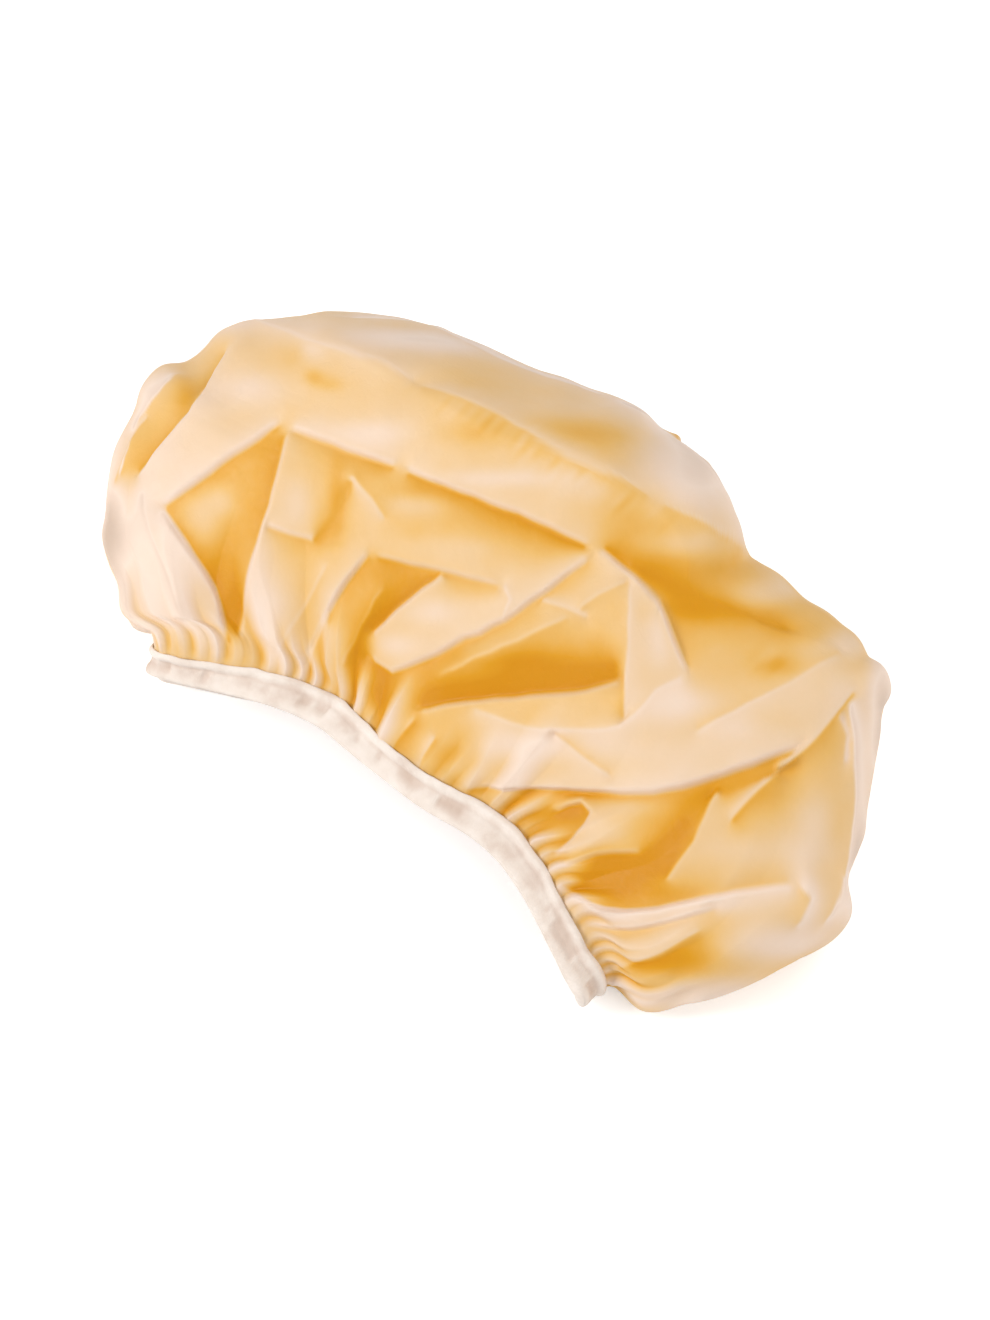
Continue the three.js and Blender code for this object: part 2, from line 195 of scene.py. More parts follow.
# How the hem sways and turns along its length: place round it, millimetres that it stands off
# from its plain loop along X, Y and Z, and degrees that the tape leans down from flat
HEM_SWAY = [
    (0, 2, 1, -1.5, -25), (0.05, 1, 0.8, 0, -4), (0.1, 0, 0.5, 0, 8), (0.15, 0, 1, 0, 15),
    (0.2, 0, 2.2, 0, 17), (0.25, 0, 3.6, 0, 17), (0.3, 0, 5, 0, 15), (0.35, 0, 5, 0, 15),
    (0.4, 0, 3.6, 0, 22), (0.45, 0, 0.3, 0, 42), (0.49, 0, -2, 0, 58), (0.53, 0, -0.8, 0, 46),
    (0.57, 0, 1.6, 0, 26), (0.62, 0, 3, 0, 19), (0.68, 0, 2.6, 0, 28), (0.75, 0, 1.2, 0, 46),
    (0.82, 0, 0.3, 0, 62), (0.88, -1, 0, 0, 74), (0.93, -2, 1, 0, 72), (0.97, -1, 4, 0, 62),
    (1, 1, 7, 0, 48), (1.05, 3, 8, 1, 28), (1.12, 2, 7, 1, 10), (1.25, 0, 4, 0, 0),
    (1.4, 0, 2, 0, 0), (1.6, 0, 4, 0, 0), (1.8, 0, 4, 0, 0), (1.9, 0, 3, 0, -4),
    (2, 2, 1, -1.5, -25),
]
SWAY_ROUNDING = 0.03
SWAY_END = 0.3


def hem_sway(around):
    table = np.array(HEM_SWAY, float)
    total = 0
    for offset in np.linspace(-SWAY_ROUNDING, SWAY_ROUNDING, ROUNDING_SAMPLES):
        place = (around + offset) % 2
        columns = [np.interp(place, table[:, 0], column) for column in table[:, 1:].T]
        total = total + np.stack(columns, -1) / ROUNDING_SAMPLES
    return total[..., :3] * MM, np.radians(total[..., 3])


def hem_middle(around):
    return plain_skin(around, 0) + hem_sway(around)[0]


def hem_frames(around):
    """Middle line of the hem, the way out of the mouth, and the outward way, at each place."""
    roundward = hem_middle(around + SLOPE_STEP) - hem_middle(around - SLOPE_STEP)
    tilt = hem_sway(around)[1]
    to_mouth = np.stack([0 * tilt, -np.cos(tilt), -np.sin(tilt)], -1)
    return hem_middle(around), to_mouth, unit(np.cross(roundward, to_mouth))


# Camera frame, for places that are named by a pixel of the photograph
BACKWARD = Vector((
    math.sin(AZIMUTH) * math.cos(ELEVATION),
    -math.cos(AZIMUTH) * math.cos(ELEVATION),
    math.sin(ELEVATION),
))
RIGHTWARD = Vector((math.cos(AZIMUTH), math.sin(AZIMUTH), 0))
UPWARD = BACKWARD.cross(RIGHTWARD)
DISTANCE = METRES_PER_PIXEL * PHOTO_HEIGHT * LENS_MM / SENSOR_MM
TARGET = (
    LIP_POINT
    - RIGHTWARD * (LIP_PIXEL[0] - PHOTO_WIDTH / 2) * METRES_PER_PIXEL
    + UPWARD * (LIP_PIXEL[1] - PHOTO_HEIGHT / 2) * METRES_PER_PIXEL
)
EYE = TARGET + BACKWARD * DISTANCE


def to_pixels(points):
    away = points - np.array(EYE)
    depth = -(away @ np.array(BACKWARD))
    scale = LENS_MM / SENSOR_MM * PHOTO_HEIGHT
    x = PHOTO_WIDTH / 2 + scale * (away @ np.array(RIGHTWARD)) / depth
    y = PHOTO_HEIGHT / 2 - scale * (away @ np.array(UPWARD)) / depth
    return np.stack([x, y], -1)


# Corners and hollows of the outline: pixel of the photograph on it, radius in pixels, and how
# far the film moves there, in millimetres to the right and up as the camera sees it
OUTLINE_SHIFTS = [
    ((225, 325), 22, -0.2, 0.6), ((279, 318), 30, 0, -3.4), ((347, 310), 28, 0, -0.4),
    ((470, 337), 34, -0.3, -0.9), ((521, 360), 34, -0.8, -1.8), ((583, 383), 28, 0.3, 0.7),
    ((625, 397), 28, 2, 4), ((680, 440), 28, 0.4, 0.7), ((725, 487), 24, -2.6, -2),
    ((750, 550), 32, -15.4, -15), ((798, 592), 36, -11, -13), ((862, 646), 20, -4.2, -5),
    ((735, 515), 18, -7, -3.6), ((712, 468), 16, 1.6, 1.4), ((806, 962), 24, 1.4, -4),
    ((888, 676), 18, 0.6, 0), ((838, 618), 24, -7, -8.2), ((878, 760), 24, -9, 0),
    ((880, 735), 28, -6, 0), ((869, 795), 34, -9, 0.5), ((853, 850), 28, -5.4, 1),
    ((838, 936), 26, 3.6, -5.6), ((777, 972), 32, 0.5, -1.1), ((704, 1002), 32, 0.2, 1.2),
    ((640, 1004), 28, 0, -3.6), ((132, 628), 28, -6, -2.6), ((107, 561), 30, -2.4, 0),
    ((104, 490), 30, 2.4, 0), ((126, 420), 26, 1.6, -0.8), ((145, 377), 24, -2.6, 2.2),
    ((196, 348), 22, 2, -3.2),
]
SHIFT_FLOOR = 0.12
SHIFT_DEPTH = 2.2
SHIFT_START = 0.04


def outline_shift(points):
    pixels = to_pixels(points)
    right, up, weights = 0, 0, SHIFT_FLOOR
    for centre, radius, move_right, move_up in OUTLINE_SHIFTS:
        away = (pixels - np.array(centre)) / radius
        heading = np.array([move_right, -move_up]) / math.hypot(move_right, move_up)
        deep = away @ heading
        spare = deep ** 2 * (1 - 1 / SHIFT_DEPTH ** 2)
        weight = np.exp(-((away ** 2).sum(-1) - spare))
        right = right + move_right * MM * weight
        up = up + move_up * MM * weight
        weights = weights + weight
    right, up = (right / weights)[..., None], (up / weights)[..., None]
    return right * np.array(RIGHTWARD) + up * np.array(UPWARD)


def cap_skin(around, along):
    """The plain skin, drawn to the rim of the tape, and the straight strip inside the tape."""
    around, along = np.broadcast_arrays(np.asarray(around, float), np.asarray(along, float))
    middle, to_mouth, _ = hem_frames(around)
    start = plain_skin(around, 0)
    speed = np.linalg.norm(plain_skin(around, SPEED_STEP) - start, axis=-1) / SPEED_STEP
    strip = middle - to_mouth * (along * speed)[..., None]
    fade = (1 - smooth(along / SWAY_END))[..., None]
    sway = hem_sway(around)[0]
    rim = middle - to_mouth * (TAPE_EDGE_ALONG * speed)[..., None]
    rim_gap = rim - plain_skin(around, TAPE_EDGE_ALONG) - sway
    rim_share = (1 - smooth((along - TAPE_EDGE_ALONG) / RIM_FADE))[..., None]
    skin = plain_skin(around, np.maximum(along, 0)) + sway * fade + rim_gap * rim_share
    skin = skin + outline_shift(skin) * smooth((along - SHIFT_START) / SHIFT_START)[..., None]
    return blend(strip, skin, smooth(along / STRIP_END)[..., None])


def outward(around, along):
    slope_round = cap_skin(around + SLOPE_STEP, along) - cap_skin(around - SLOPE_STEP, along)
    back = np.maximum(along - SLOPE_STEP, TUCK_ALONG)
    slope_along = cap_skin(around, np.minimum(along + SLOPE_STEP, 1)) - cap_skin(around, back)
    return unit(np.cross(slope_along, slope_round))


def facing_eye(around, along, points):
    """1 where the skin faces the camera, 0 along its outline, and less behind it."""
    to_eye = unit(np.array(EYE) - points)
    return (outward(around, np.clip(along, FIRST_ALONG, LAST_ALONG)) * to_eye).sum(-1)


class PixelFinder:
    """Finds the place on the skin that a pixel of the photograph shows."""

    COLUMNS = 501
    ROWS = 401
    LEAST_FACING = 0.02

    def __init__(self):
        around, along = np.meshgrid(np.linspace(0, 1, self.COLUMNS), np.linspace(0, 1, self.ROWS))
        skin = cap_skin(around, along)
        seen = facing_eye(around, along, skin) > self.LEAST_FACING
        self.places = np.stack([around[seen], along[seen]], -1)
        self.pixels = to_pixels(skin[seen])

    def __call__(self, pixel):
        gap = ((self.pixels - np.asarray(pixel, float)) ** 2).sum(-1)
        return self.places[np.argmin(gap)]


# Smooth random values that are the same in every run

AXIS_PRIMES = (73856093, 19349663, 83492791)
SEED_PRIME = 2654435761
MIXING_PRIME = 1274126177
LAYER_WEAKENING = 1.8


def lattice(cells, seed):
    """A random value from -1 to 1 for each whole-number place."""
    mixed = seed * SEED_PRIME
    for axis, prime in enumerate(AXIS_PRIMES):
        mixed = mixed ^ (cells[..., axis].astype(np.int64) * prime)
    mixed = (mixed ^ (mixed >> 13)) * MIXING_PRIME
    mixed = (mixed ^ (mixed >> 16)) & 0xFFFFFF
    return mixed / 0x7FFFFF - 1


def noise(points, size, seed):
    """Smooth noise from -1 to 1 with features about size across."""
    scaled = points / size
    cell = np.floor(scaled)
    share = smooth(scaled - cell)
    total = 0
    for corner in np.ndindex(2, 2, 2):
        weight = np.prod(np.where(np.array(corner) == 1, share, 1 - share), axis=-1)
        total = total + weight * lattice(cell + np.array(corner), seed)
    return total


def layered(points, size, seed, layers=2):
    """Noise with finer and weaker layers added, each half the size of the one before."""
    return sum(noise(points, size / 2 ** k, seed + k) / LAYER_WEAKENING ** k
               for k in range(layers))


# Creases: kind of line, the side of it in the photograph that is raised, then in millimetres how
# high it stands, how deep the film lies beside it, and how far the lining stands off on the
# raised side and on the other side, each at the line's start and at its end. Points are pixels.
PHOTO_CREASES = [
    # long roll across the top, and the lip of its lower side
    ("crest", "above", 5, 0, (6.6, 5.4), (6.8, 4.4), [
        (227, 326), (270, 335), (317, 349), (379, 370), (420, 388)]),
    ("crest", "above", 5, 0, (5.2, 5), (3.4, 2.8), [
        (412, 384), (452, 403), (503, 427), (555, 455), (607, 478), (658, 504)]),
    ("crest", "above", 5, 0, (5, 9), (2.8, 4.6), [
        (650, 500), (710, 535), (749, 563), (813, 610), (888, 672)]),
    ("flap", "above", 3.5, 2, (6.2, 6), (3, 1.4), [
        (291, 425), (348, 447), (400, 465)]),
    ("flap", "above", 3.5, 2, (6, 4.6), (1.2, 0), [
        (400, 465), (462, 489), (534, 517), (596, 546)]),
    ("valley", "above", 0, 3, (0, 1), (0, 1), [
        (618, 562), (640, 572), (690, 592), (745, 611), (796, 630)]),
    # fold that crosses the right end of that valley
    ("flap", "below", 4.5, 2, (5.2, 5.6), (0, 3.2), [
        (596, 548), (632, 577), (656, 602), (672, 640), (688, 676)]),
    ("crest", "left", 3, 0, (4.2, 2.6), (5.4, 6.2), [(632, 577), (631, 625), (628, 680), (624, 724)]),
    ("crest", "left", 2, 0, (4.8, 4.4), (3.6, 3.2), [(630, 580), (600, 595), (575, 612)]),
    # left lobe and the valley beside it
    ("flap", "right", 3.5, 2.5, (6, 7), (3, 1.2), [
        (229, 346), (201, 398), (168, 440), (136, 481)]),
    ("crest", "left", 1.5, 0, (9, 10), (4, 3), [(180, 372), (143, 420), (118, 480)]),
    # left diamond panel
    ("flap", "above", 3, 1.5, (7, 6), (1.4, 1.8), [(160, 507), (220, 462), (283, 419)]),
    ("flap", "right", 2.6, 1.5, (4.4, 5), (1, 0.8), [
        (291, 427), (271, 507), (256, 560), (245, 610), (243, 648)]),
    ("flap", "left", 3.5, 1.5, (8.6, 6.4), (1.2, 1.4), [
        (160, 507), (193, 558), (218, 605), (225, 651)]),
    ("crest", "left", 2.4, 0, (8.8, 8.4), (7.6, 7), [(145, 488), (152, 530), (172, 580), (190, 636)]),
    ("flap", "above", 1.6, 1, (5, 5), (2.4, 2.6), [(268, 523), (290, 532), (314, 538)]),
    ("valley", "above", 0, 1.5, (1.8, 1.6), (1.8, 1.6), [(352, 478), (336, 515), (312, 545)]),
    ("crest", "left", 1.6, 0, (4.6, 5.4), (4, 5), [(330, 560), (300, 615), (276, 660)]),
    ("flap", "left", 2.6, 1.5, (5, 6), (1.8, 1.2), [(370, 548), (345, 580), (320, 625), (300, 672)]),
    ("crest", "left", 1.8, 0, (2.4, 2), (1.6, 1.4), [(384, 585), (362, 625), (345, 668)]),
    # middle flap
    ("flap", "above", 2.8, 1.5, (4, 4.6), (1.2, 3), [(371, 552), (410, 562), (455, 572), (503, 584)]),
    ("flap", "right", 2.8, 1.5, (4.6, 6), (0.6, 0), [(446, 574), (410, 600), (369, 638)]),
    ("crest", "left", 1.5, 0, (5, 5.4), (5.6, 6), [(503, 584), (512, 600), (503, 618)]),
    ("flap", "above", 2.6, 1.5, (6.4, 5.4), (2, 3), [
        (364, 646), (390, 669), (451, 643), (503, 618), (545, 589), (596, 549)]),
    # big amber valley right of the middle
    ("crest", "above", 2, 0, (3, 4.4), (2.2, 3), [(436, 680), (477, 658), (520, 640), (575, 614)]),
    ("valley", "above", 0, 0, (0.4, 0), (0.4, 0), [
        (420, 702), (460, 692), (520, 678), (575, 670), (626, 666)]),
    ("flap", "below", 3.2, 2, (5, 3.6), (0.2, 0.2), [
        (410, 713), (462, 704), (529, 698), (586, 692), (628, 680)]),
    # big pale roll
    ("crest", "above", 3, 0, (5, 5.4), (6.6, 7), [
        (462, 705), (500, 718), (545, 729), (622, 726), (658, 692), (692, 672)]),
    ("crest", "above", 1.6, 0, (4.4, 5), (7.4, 6.6), [(553, 733), (581, 755), (612, 778)]),
    ("flap", "above", 4.2, 2.5, (7, 6), (2.6, 1), [
        (448, 786), (500, 784), (560, 787), (607, 790), (668, 788), (736, 767), (813, 739)]),
    # right shoulder
    ("crest", "below", 2.4, 0, (6.6, 5), (4.2, 3.8), [(690, 735), (775, 692), (845, 652)]),
    ("crest", "left", 2, 0, (6, 5), (2.4, 1.2), [
        (860, 682), (834, 713), (813, 739), (756, 791), (725, 827)]),
    ("valley", "above", 0, 2.5, (1, 1.6), (1, 1.6), [(690, 800), (745, 782), (800, 762)]),
    ("crest", "right", 2.2, 0, (4.4, 4.8), (1.4, 0.8), [(718, 788), (694, 842), (663, 884)]),
    # pocket near the right end of the hem
    ("flap", "above", 2.4, 1.2, (5.4, 4), (2, 1.2), [
        (548, 812), (580, 800), (592, 812), (575, 840), (551, 862)]),
    ("flap", "above", 2.2, 1, (4, 3.4), (1, 1.4), [(544, 876), (581, 858), (612, 850), (642, 850)]),
    ("valley", "above", 0, 0, (0.6, 0), (0.6, 0), [(575, 882), (627, 868), (665, 846), (690, 815)]),
    ("flap", "below", 3.6, 2, (8, 7), (0.8, 4.2), [
        (550, 884), (607, 911), (658, 910), (736, 894), (802, 886)]),
    ("crest", "left", 2.4, 0, (3.8, 4.4), (8, 8), [(798, 885), (809, 896), (794, 928)]),
    ("flap", "above", 2.2, 1.2, (7.4, 6), (5, 4), [(578, 920), (630, 927), (672, 918), (720, 903)]),
    ("crest", "above", 2.4, 0, (5.4, 5), (3, 2.6), [(604, 968), (650, 956), (704, 928)]),
    ("crest", "left", 2.6, 0, (4, 4.6), (9.5, 9), [(846, 690), (850, 780), (842, 860), (822, 930)]),
    # thin folds inside the panels
    ("crest", "above", 0.8, 0, (5, 5.4), (3.4, 4), [(541, 600), (566, 607), (590, 618)]),
    ("crest", "below", 0.8, 0, (5.6, 5), (2.6, 3), [(352, 474), (372, 500), (386, 521)]),
    ("crest", "left", 0.8, 0, (6, 6.6), (3, 4), [(151, 415), (132, 440), (113, 486)]),
    ("crest", "right", 1, 0, (6.4, 7), (3.6, 4), [(838, 712), (845, 735), (843, 764)]),
    ("crest", "left", 0.8, 0, (5.4, 5), (2.6, 2), [(415, 716), (398, 742), (384, 770)]),
    ("crest", "left", 0.8, 0, (6.6, 7), (3.4, 3), [(438, 735), (424, 756), (414, 784)]),
    ("crest", "above", 0.8, 0, (6.4, 6), (4.4, 4.4), [(300, 690), (312, 655), (330, 610)]),
    # far side of the crown
    ("crest", "above", 1.6, 0, (8.2, 9), (6, 5.4), [(340, 318), (430, 330), (520, 372), (612, 400)]),
    ("crest", "above", 1.4, 0, (9.6, 9.6), (8, 9), [(612, 400), (680, 440), (722, 490), (742, 545)]),
]


def side_sign(points, word):
    """1 if the raised side is on the left of the line's direction in the photograph, else -1."""
    run = np.array(points[-1], float) - np.array(points[0], float)
    left = np.array([run[1], -run[0]])
    wanted = {"above": (0, -1), "below": (0, 1), "left": (-1, 0), "right": (1, 0)}[word]
    return 1 if left @ np.array(wanted) > 0 else -1


def smooth_path(points, spacing):
    """Catmull-Rom curve through points, with a point about every spacing."""
    points = np.array(points, float)
    padded = np.vstack([2 * points[0] - points[1], points, 2 * points[-1] - points[-2]])
    out = []
    for before, start, end, after in zip(padded, padded[1:], padded[2:], padded[3:]):
        steps = max(int(np.linalg.norm(end - start) / spacing), 1)
        share = np.arange(steps)[:, None] / steps
        curve = 2 * start + (end - before) * share
        curve = curve + (2 * before - 5 * start + 4 * end - after) * share ** 2
        curve = curve + (3 * start - before - 3 * end + after) * share ** 3
        out.append(curve / 2)
    return np.vstack(out + [points[-1:]])


class Crease:
    """One fold line on the skin, held up as a crest or down as a valley."""

    PATH_STEP = 14
    HOLD = 0.8 * MM
    FOOT = 1.3 * MM
    LIFT_SHARE = 0.45
    DROP_SHARE = 0.5
    TONE_HOLD = 1 * MM
    TONE_STEP = 0.45 * MM
    REACH = 4 * MM
    # Width of the pale line along folded edges, and how much paler it makes the film: partly the film
    # whitened at the fold, partly painted highlight
    EDGE_WIDTH = 0.7 * MM
    EDGE_HIGHLIGHT = 1 * MM
    LOOSE_END = 0.02
    TONELESS_END = 0.05
    WEAK_END = 0.2
    WEAK_END_STRENGTH = 0.3
    EDGE_FADE = 0.12
    LEAST_LEG = 1e-12

    def __init__(self, kind, sign, lift, drop, raised_tone, lowered_tone, places):
        self.kind = kind
        self.sign = sign
        self.lift = lift * MM
        self.drop = drop * MM
        self.raised_tone = np.array(raised_tone) * MM
        self.lowered_tone = np.array(lowered_tone) * MM
        self.places = np.array(places)
        self.points = cap_skin(self.places[:, 0], self.places[:, 1])

    def close_to(self, points):
        low, high = self.points.min(0) - self.REACH, self.points.max(0) + self.REACH
        return np.flatnonzero(((points > low) & (points < high)).all(-1))

    def nearest(self, around, along, points):
        """Distance to the line, the side that a place lies on, and the share along the line."""
        starts, ends = self.points[:-1], self.points[1:]
        runs = ends - starts
        lengths = (runs ** 2).sum(-1)
        best = np.full(len(points), np.inf)
        leg_of = np.zeros(len(points), int)
        share_of = np.zeros(len(points))
        for leg in range(len(runs)):
            ahead = (points - starts[leg]) @ runs[leg]
            share = np.clip(ahead / max(lengths[leg], self.LEAST_LEG), 0, 1)
            gap = np.linalg.norm(points - starts[leg] - share[:, None] * runs[leg], axis=-1)
            closer = gap < best
            best[closer] = gap[closer]
            leg_of[closer] = leg
            share_of[closer] = share[closer]
        start, end = self.places[leg_of], self.places[leg_of + 1]
        run = end - start
        cross = run[:, 0] * (along - start[:, 1]) - run[:, 1] * (around - start[:, 0])
        side = np.where(cross > 0, -1, 1) * self.sign
        return best, side, (leg_of + share_of) / len(runs)

    @staticmethod
    def ends_fade(share, length):
        return smooth(share / length) * smooth((1 - share) / length)

    @staticmethod
    def between_ends(share, end):
        return (share > end) & (share < 1 - end)

    def holds(self, gap, side, share):
        """Places that the line holds, and the heights that it holds them at."""
        inside = self.between_ends(share, self.LOOSE_END)
        signed = gap * side
        if self.kind == "flap":
            held = inside & (signed < self.HOLD) & (signed > -self.FOOT - self.HOLD)
            climb = smooth(1 + signed / self.FOOT)
            height = blend(-self.drop * self.DROP_SHARE, self.lift * self.LIFT_SHARE, climb)
        else:
            held = inside & (gap < self.HOLD) & (self.lift + self.drop > 0)
            valley = self.kind == "valley"
            height = np.full(len(gap), -self.drop * self.DROP_SHARE if valley else self.lift)
        return held, height * blend(self.WEAK_END_STRENGTH, 1, self.ends_fade(share, self.WEAK_END))

    def tone(self, gap, side, share):
        """Places where the line sets how far the lining stands off, and how far that is."""
        raised = blend(*self.raised_tone, share)
        lowered = blend(*self.lowered_tone, share)
        edge = -self.FOOT if self.kind == "flap" else 0
        signed = gap * side - edge
        inside = self.between_ends(share, self.TONELESS_END)
        set_here = inside & (signed > -self.TONE_HOLD) & (signed < self.TONE_HOLD - edge)
        return set_here, blend(lowered, raised, smooth(0.5 + signed / (2 * self.TONE_STEP)))

    def edge_highlight(self, gap, share):
        """The thin pale line along a folded edge: partly the film whitened at the fold, partly
        painted highlight.
        """
        if self.kind == "valley":
            return 0 * gap
        line = np.exp(-((gap / self.EDGE_WIDTH) ** 2))
        return self.EDGE_HIGHLIGHT * line * self.ends_fade(share, self.EDGE_FADE)


SAME_PLACE = 1e-4


def photo_creases():
    find = PixelFinder()
    creases = []
    for kind, word, lift, drop, raised_tone, lowered_tone, pixels in PHOTO_CREASES:
        places = [find(pixel) for pixel in smooth_path(pixels, Crease.PATH_STEP)]
        kept = [places[0]]
        for place in places[1:]:
            if np.abs(place - kept[-1]).max() > SAME_PLACE:
                kept.append(place)
        sign = side_sign(pixels, word)
        creases.append(Crease(kind, sign, lift, drop, raised_tone, lowered_tone, kept))
    return creases


RANDOM_CREASES = 150
RANDOM_SEED = 7
RANDOM_ALONG = (0.12, 0.92)
RANDOM_LENGTH = (0.08, 0.26)
RANDOM_LIFT = (1.2, 3.4)
RANDOM_TONE = (3, 6)
RANDOM_TONE_STEP = (0.5, 2.4)
RANDOM_FLAP_SHARE = 0.4
HEADING_SPREAD = 0.7
TURN_SPREAD = 0.35
TURNS = 3
AROUND_SHARE = 0.55
RANDOM_PATH_STEP = 0.02
LOWEST_PLACE = [-0.5, 0.05]
HIGHEST_PLACE = [2.5, 0.97]
MOST_FACING = 0.05


def random_creases():
    """Small creases scattered over the sides of the cap that the photograph hides."""
    rng = np.random.default_rng(RANDOM_SEED)
    creases = []
    for _ in range(RANDOM_CREASES):
        around = rng.uniform(0, 2)
        along = rng.uniform(*RANDOM_ALONG)
        heading = rng.normal(HALF_TURN / 2, HEADING_SPREAD)
        length = rng.uniform(*RANDOM_LENGTH)
        places = [np.array([around, along])]
        for turn in rng.normal(0, TURN_SPREAD, TURNS):
            heading += turn
            step = np.array([math.cos(heading) * AROUND_SHARE, math.sin(heading)]) * length / TURNS
            places.append(places[-1] + step)
        places = np.clip(np.array(places), LOWEST_PLACE, HIGHEST_PLACE)
        lift = rng.uniform(*RANDOM_LIFT)
        tone = np.full(2, rng.uniform(*RANDOM_TONE))
        step = rng.uniform(*RANDOM_TONE_STEP)
        kind = "flap" if rng.random() < RANDOM_FLAP_SHARE else "crest"
        sign = 1 if rng.random() < 0.5 else -1
        path = smooth_path(places, RANDOM_PATH_STEP)
        crease = Crease(kind, sign, lift, lift / 2, tone + step, tone - step, path)
        if facing_eye(path[:, 0], path[:, 1], crease.points).max() < MOST_FACING:
            creases.append(crease)
    return creases


# Gathers that run out of the hem: pleats per metre of hem, depth, where along they are deepest
# and how far they reach, and how far the lining seems to stand off under them
GATHERS = [
    (190, 0.9 * MM, 0.033, 0.11, 3 * MM),
    (95, 1.5 * MM, 0.045, 0.2, 2.6 * MM),
    (46, 2.2 * MM, 0.08, 0.3, 1.4 * MM),
]
GATHER_START = 0.01
HALF_HEM_LENGTH = 0.2
GATHER_SWAY = 0.45
GATHER_SWAY_SIZE = 30 * MM
GATHER_STRETCH = [1, 0.35, 0.35]
PLEAT_SPREAD = 1.7
LEAST_REACH = 0.03
STRENGTH_MEAN, STRENGTH_SPREAD = 0.75, 0.5
LENGTH_MEAN, LENGTH_SPREAD = 0.75, 0.45
RIDGE_SHARE = 1.5
HOLLOW_SHARE = 0.55
PUFF_HEIGHT = 1.5 * MM
PUFF_RISE = 0.008
PUFF_END = 0.16
RIM_STAND = 3.6 * MM
RIM_STAND_SHARE = 0.6
RIM_STAND_REACH = 0.05

# How deep the gathers are along the hem, at places round it
GATHER_PLACES = (0, 0.12, 0.3, 0.6, 0.7, 0.85, 1, 1.5, 2)
GATHER_STRENGTHS = (1.1, 0.9, 1.1, 1.15, 0.95, 0.75, 0.8, 1, 1.1)
PUFF_PLACES = (0, 0.68, 0.78, 0.9, 0.97, 1.04, 1.1, 2)
PUFF_STRENGTHS = (1, 1, 1.2, 1.3, 1.4, 1.4, 1, 1)

# Pleats of the film inside the folded tape, where its long edge is gathered into the short hem
TUCKED_PLEAT_HEIGHT = 0.75 * MM
TUCKED_PLEAT_END = 0.018
TUCKED_PLEATS_TOP = 100
TUCKED_PLEATS_UNDER = 38


def gathers_at(around, along, points):
    """Height of the gathers, and how much more or less the lining stands off at them."""
    rise = smooth((along - GATHER_START) / PUFF_RISE)
    height = PUFF_HEIGHT * rise * (1 - smooth((along - GATHER_START) / PUFF_END))
    height = height * np.interp(around, PUFF_PLACES, PUFF_STRENGTHS)
    tone = 0
    strengths = np.interp(around, GATHER_PLACES, GATHER_STRENGTHS)
    for level, (per_metre, depth, peak, reach, stand) in enumerate(GATHERS):
        sway = layered(points * GATHER_STRETCH, GATHER_SWAY_SIZE, seed=40 + level) * GATHER_SWAY
        wave = around * HALF_HEM_LENGTH * per_metre + sway
        pleat = np.floor(wave)
        tent = 1 - 2 * np.abs(wave - pleat - 0.5)
        sample = np.stack([pleat * PLEAT_SPREAD, 0 * pleat, 0 * pleat], -1)
        strength = STRENGTH_MEAN + STRENGTH_SPREAD * lattice(sample, seed=60 + level)
        length = LENGTH_MEAN + LENGTH_SPREAD * lattice(sample + 5, seed=70 + level)
        length = np.maximum(reach * length, LEAST_REACH)
        rise = smooth((along - GATHER_START) / (peak - GATHER_START))
        pleats = RIDGE_SHARE * strength * tent * (1 - smooth((along - peak) / length))
        hollows = HOLLOW_SHARE * (1 - smooth((along - peak) / reach))
        share = (pleats - hollows) * rise * strengths
        height = height + depth * share
        tone = tone + stand * share
    return height, tone


def tucked_pleats(around, along):
    top_turns = around * TUCKED_PLEATS_TOP
    under_turns = (around - 1) * TUCKED_PLEATS_UNDER
    turns = np.where(around < 1, top_turns, under_turns) % 1
    tent = 2 * np.abs(2 * turns - 1) - 1
    return TUCKED_PLEAT_HEIGHT * tent * (1 - smooth(along / TUCKED_PLEAT_END))


# Fine crumple of the film: size, height, seed, and the level that its ridges are cut from
WRINKLES = [
    (34 * MM, 0.6 * MM, 3, 0.35), (13 * MM, 0.12 * MM, 11, 0.35), (5 * MM, 0.03 * MM, 19, 0.3),
]
HEM_FADE = 0.06
CROWN_FADE = 0.06


def wrinkle_height(points, along):
    crumple = sum(height * (cut - np.abs(layered(points, size, seed)))
                  for size, height, seed, cut in WRINKLES)
    return crumple * smooth((along - TAPE_EDGE_ALONG) / HEM_FADE)


def wrapped_shares(top_shares, under_columns):
    """Places round the cap: over the top, then back below."""
    return np.concatenate([top_shares, 1 + np.arange(under_columns) / under_columns])


def grid_places():
    """Places of the film's grid: columns crowd at the middle, and rows at the hem."""
    to_middle = 2 * np.arange(TOP_COLUMNS) / TOP_COLUMNS - 1
    top = 0.5 + 0.5 * np.sign(to_middle) * np.abs(to_middle) ** COLUMN_POWER
    share = np.linspace(0, 1, ROWS)
    rows = blend(TUCK_ALONG, TIP_ALONG, blend(share, share ** 3, ROW_CROWDING))
    return np.meshgrid(wrapped_shares(top, UNDER_COLUMNS), rows)


def spread(values, steps, lowest=False):
    """Box blur, or local minimum, over the grid: round the cap it wraps, along it doesn't."""
    for _ in range(steps):
        sides = [np.roll(values, 1, 1), np.roll(values, -1, 1)]
        sides += [np.vstack([values[:1], values[:-1]]), np.vstack([values[1:], values[-1:]])]
        values = np.minimum.reduce([values] + sides) if lowest else (values + sum(sides)) / 5
    return values
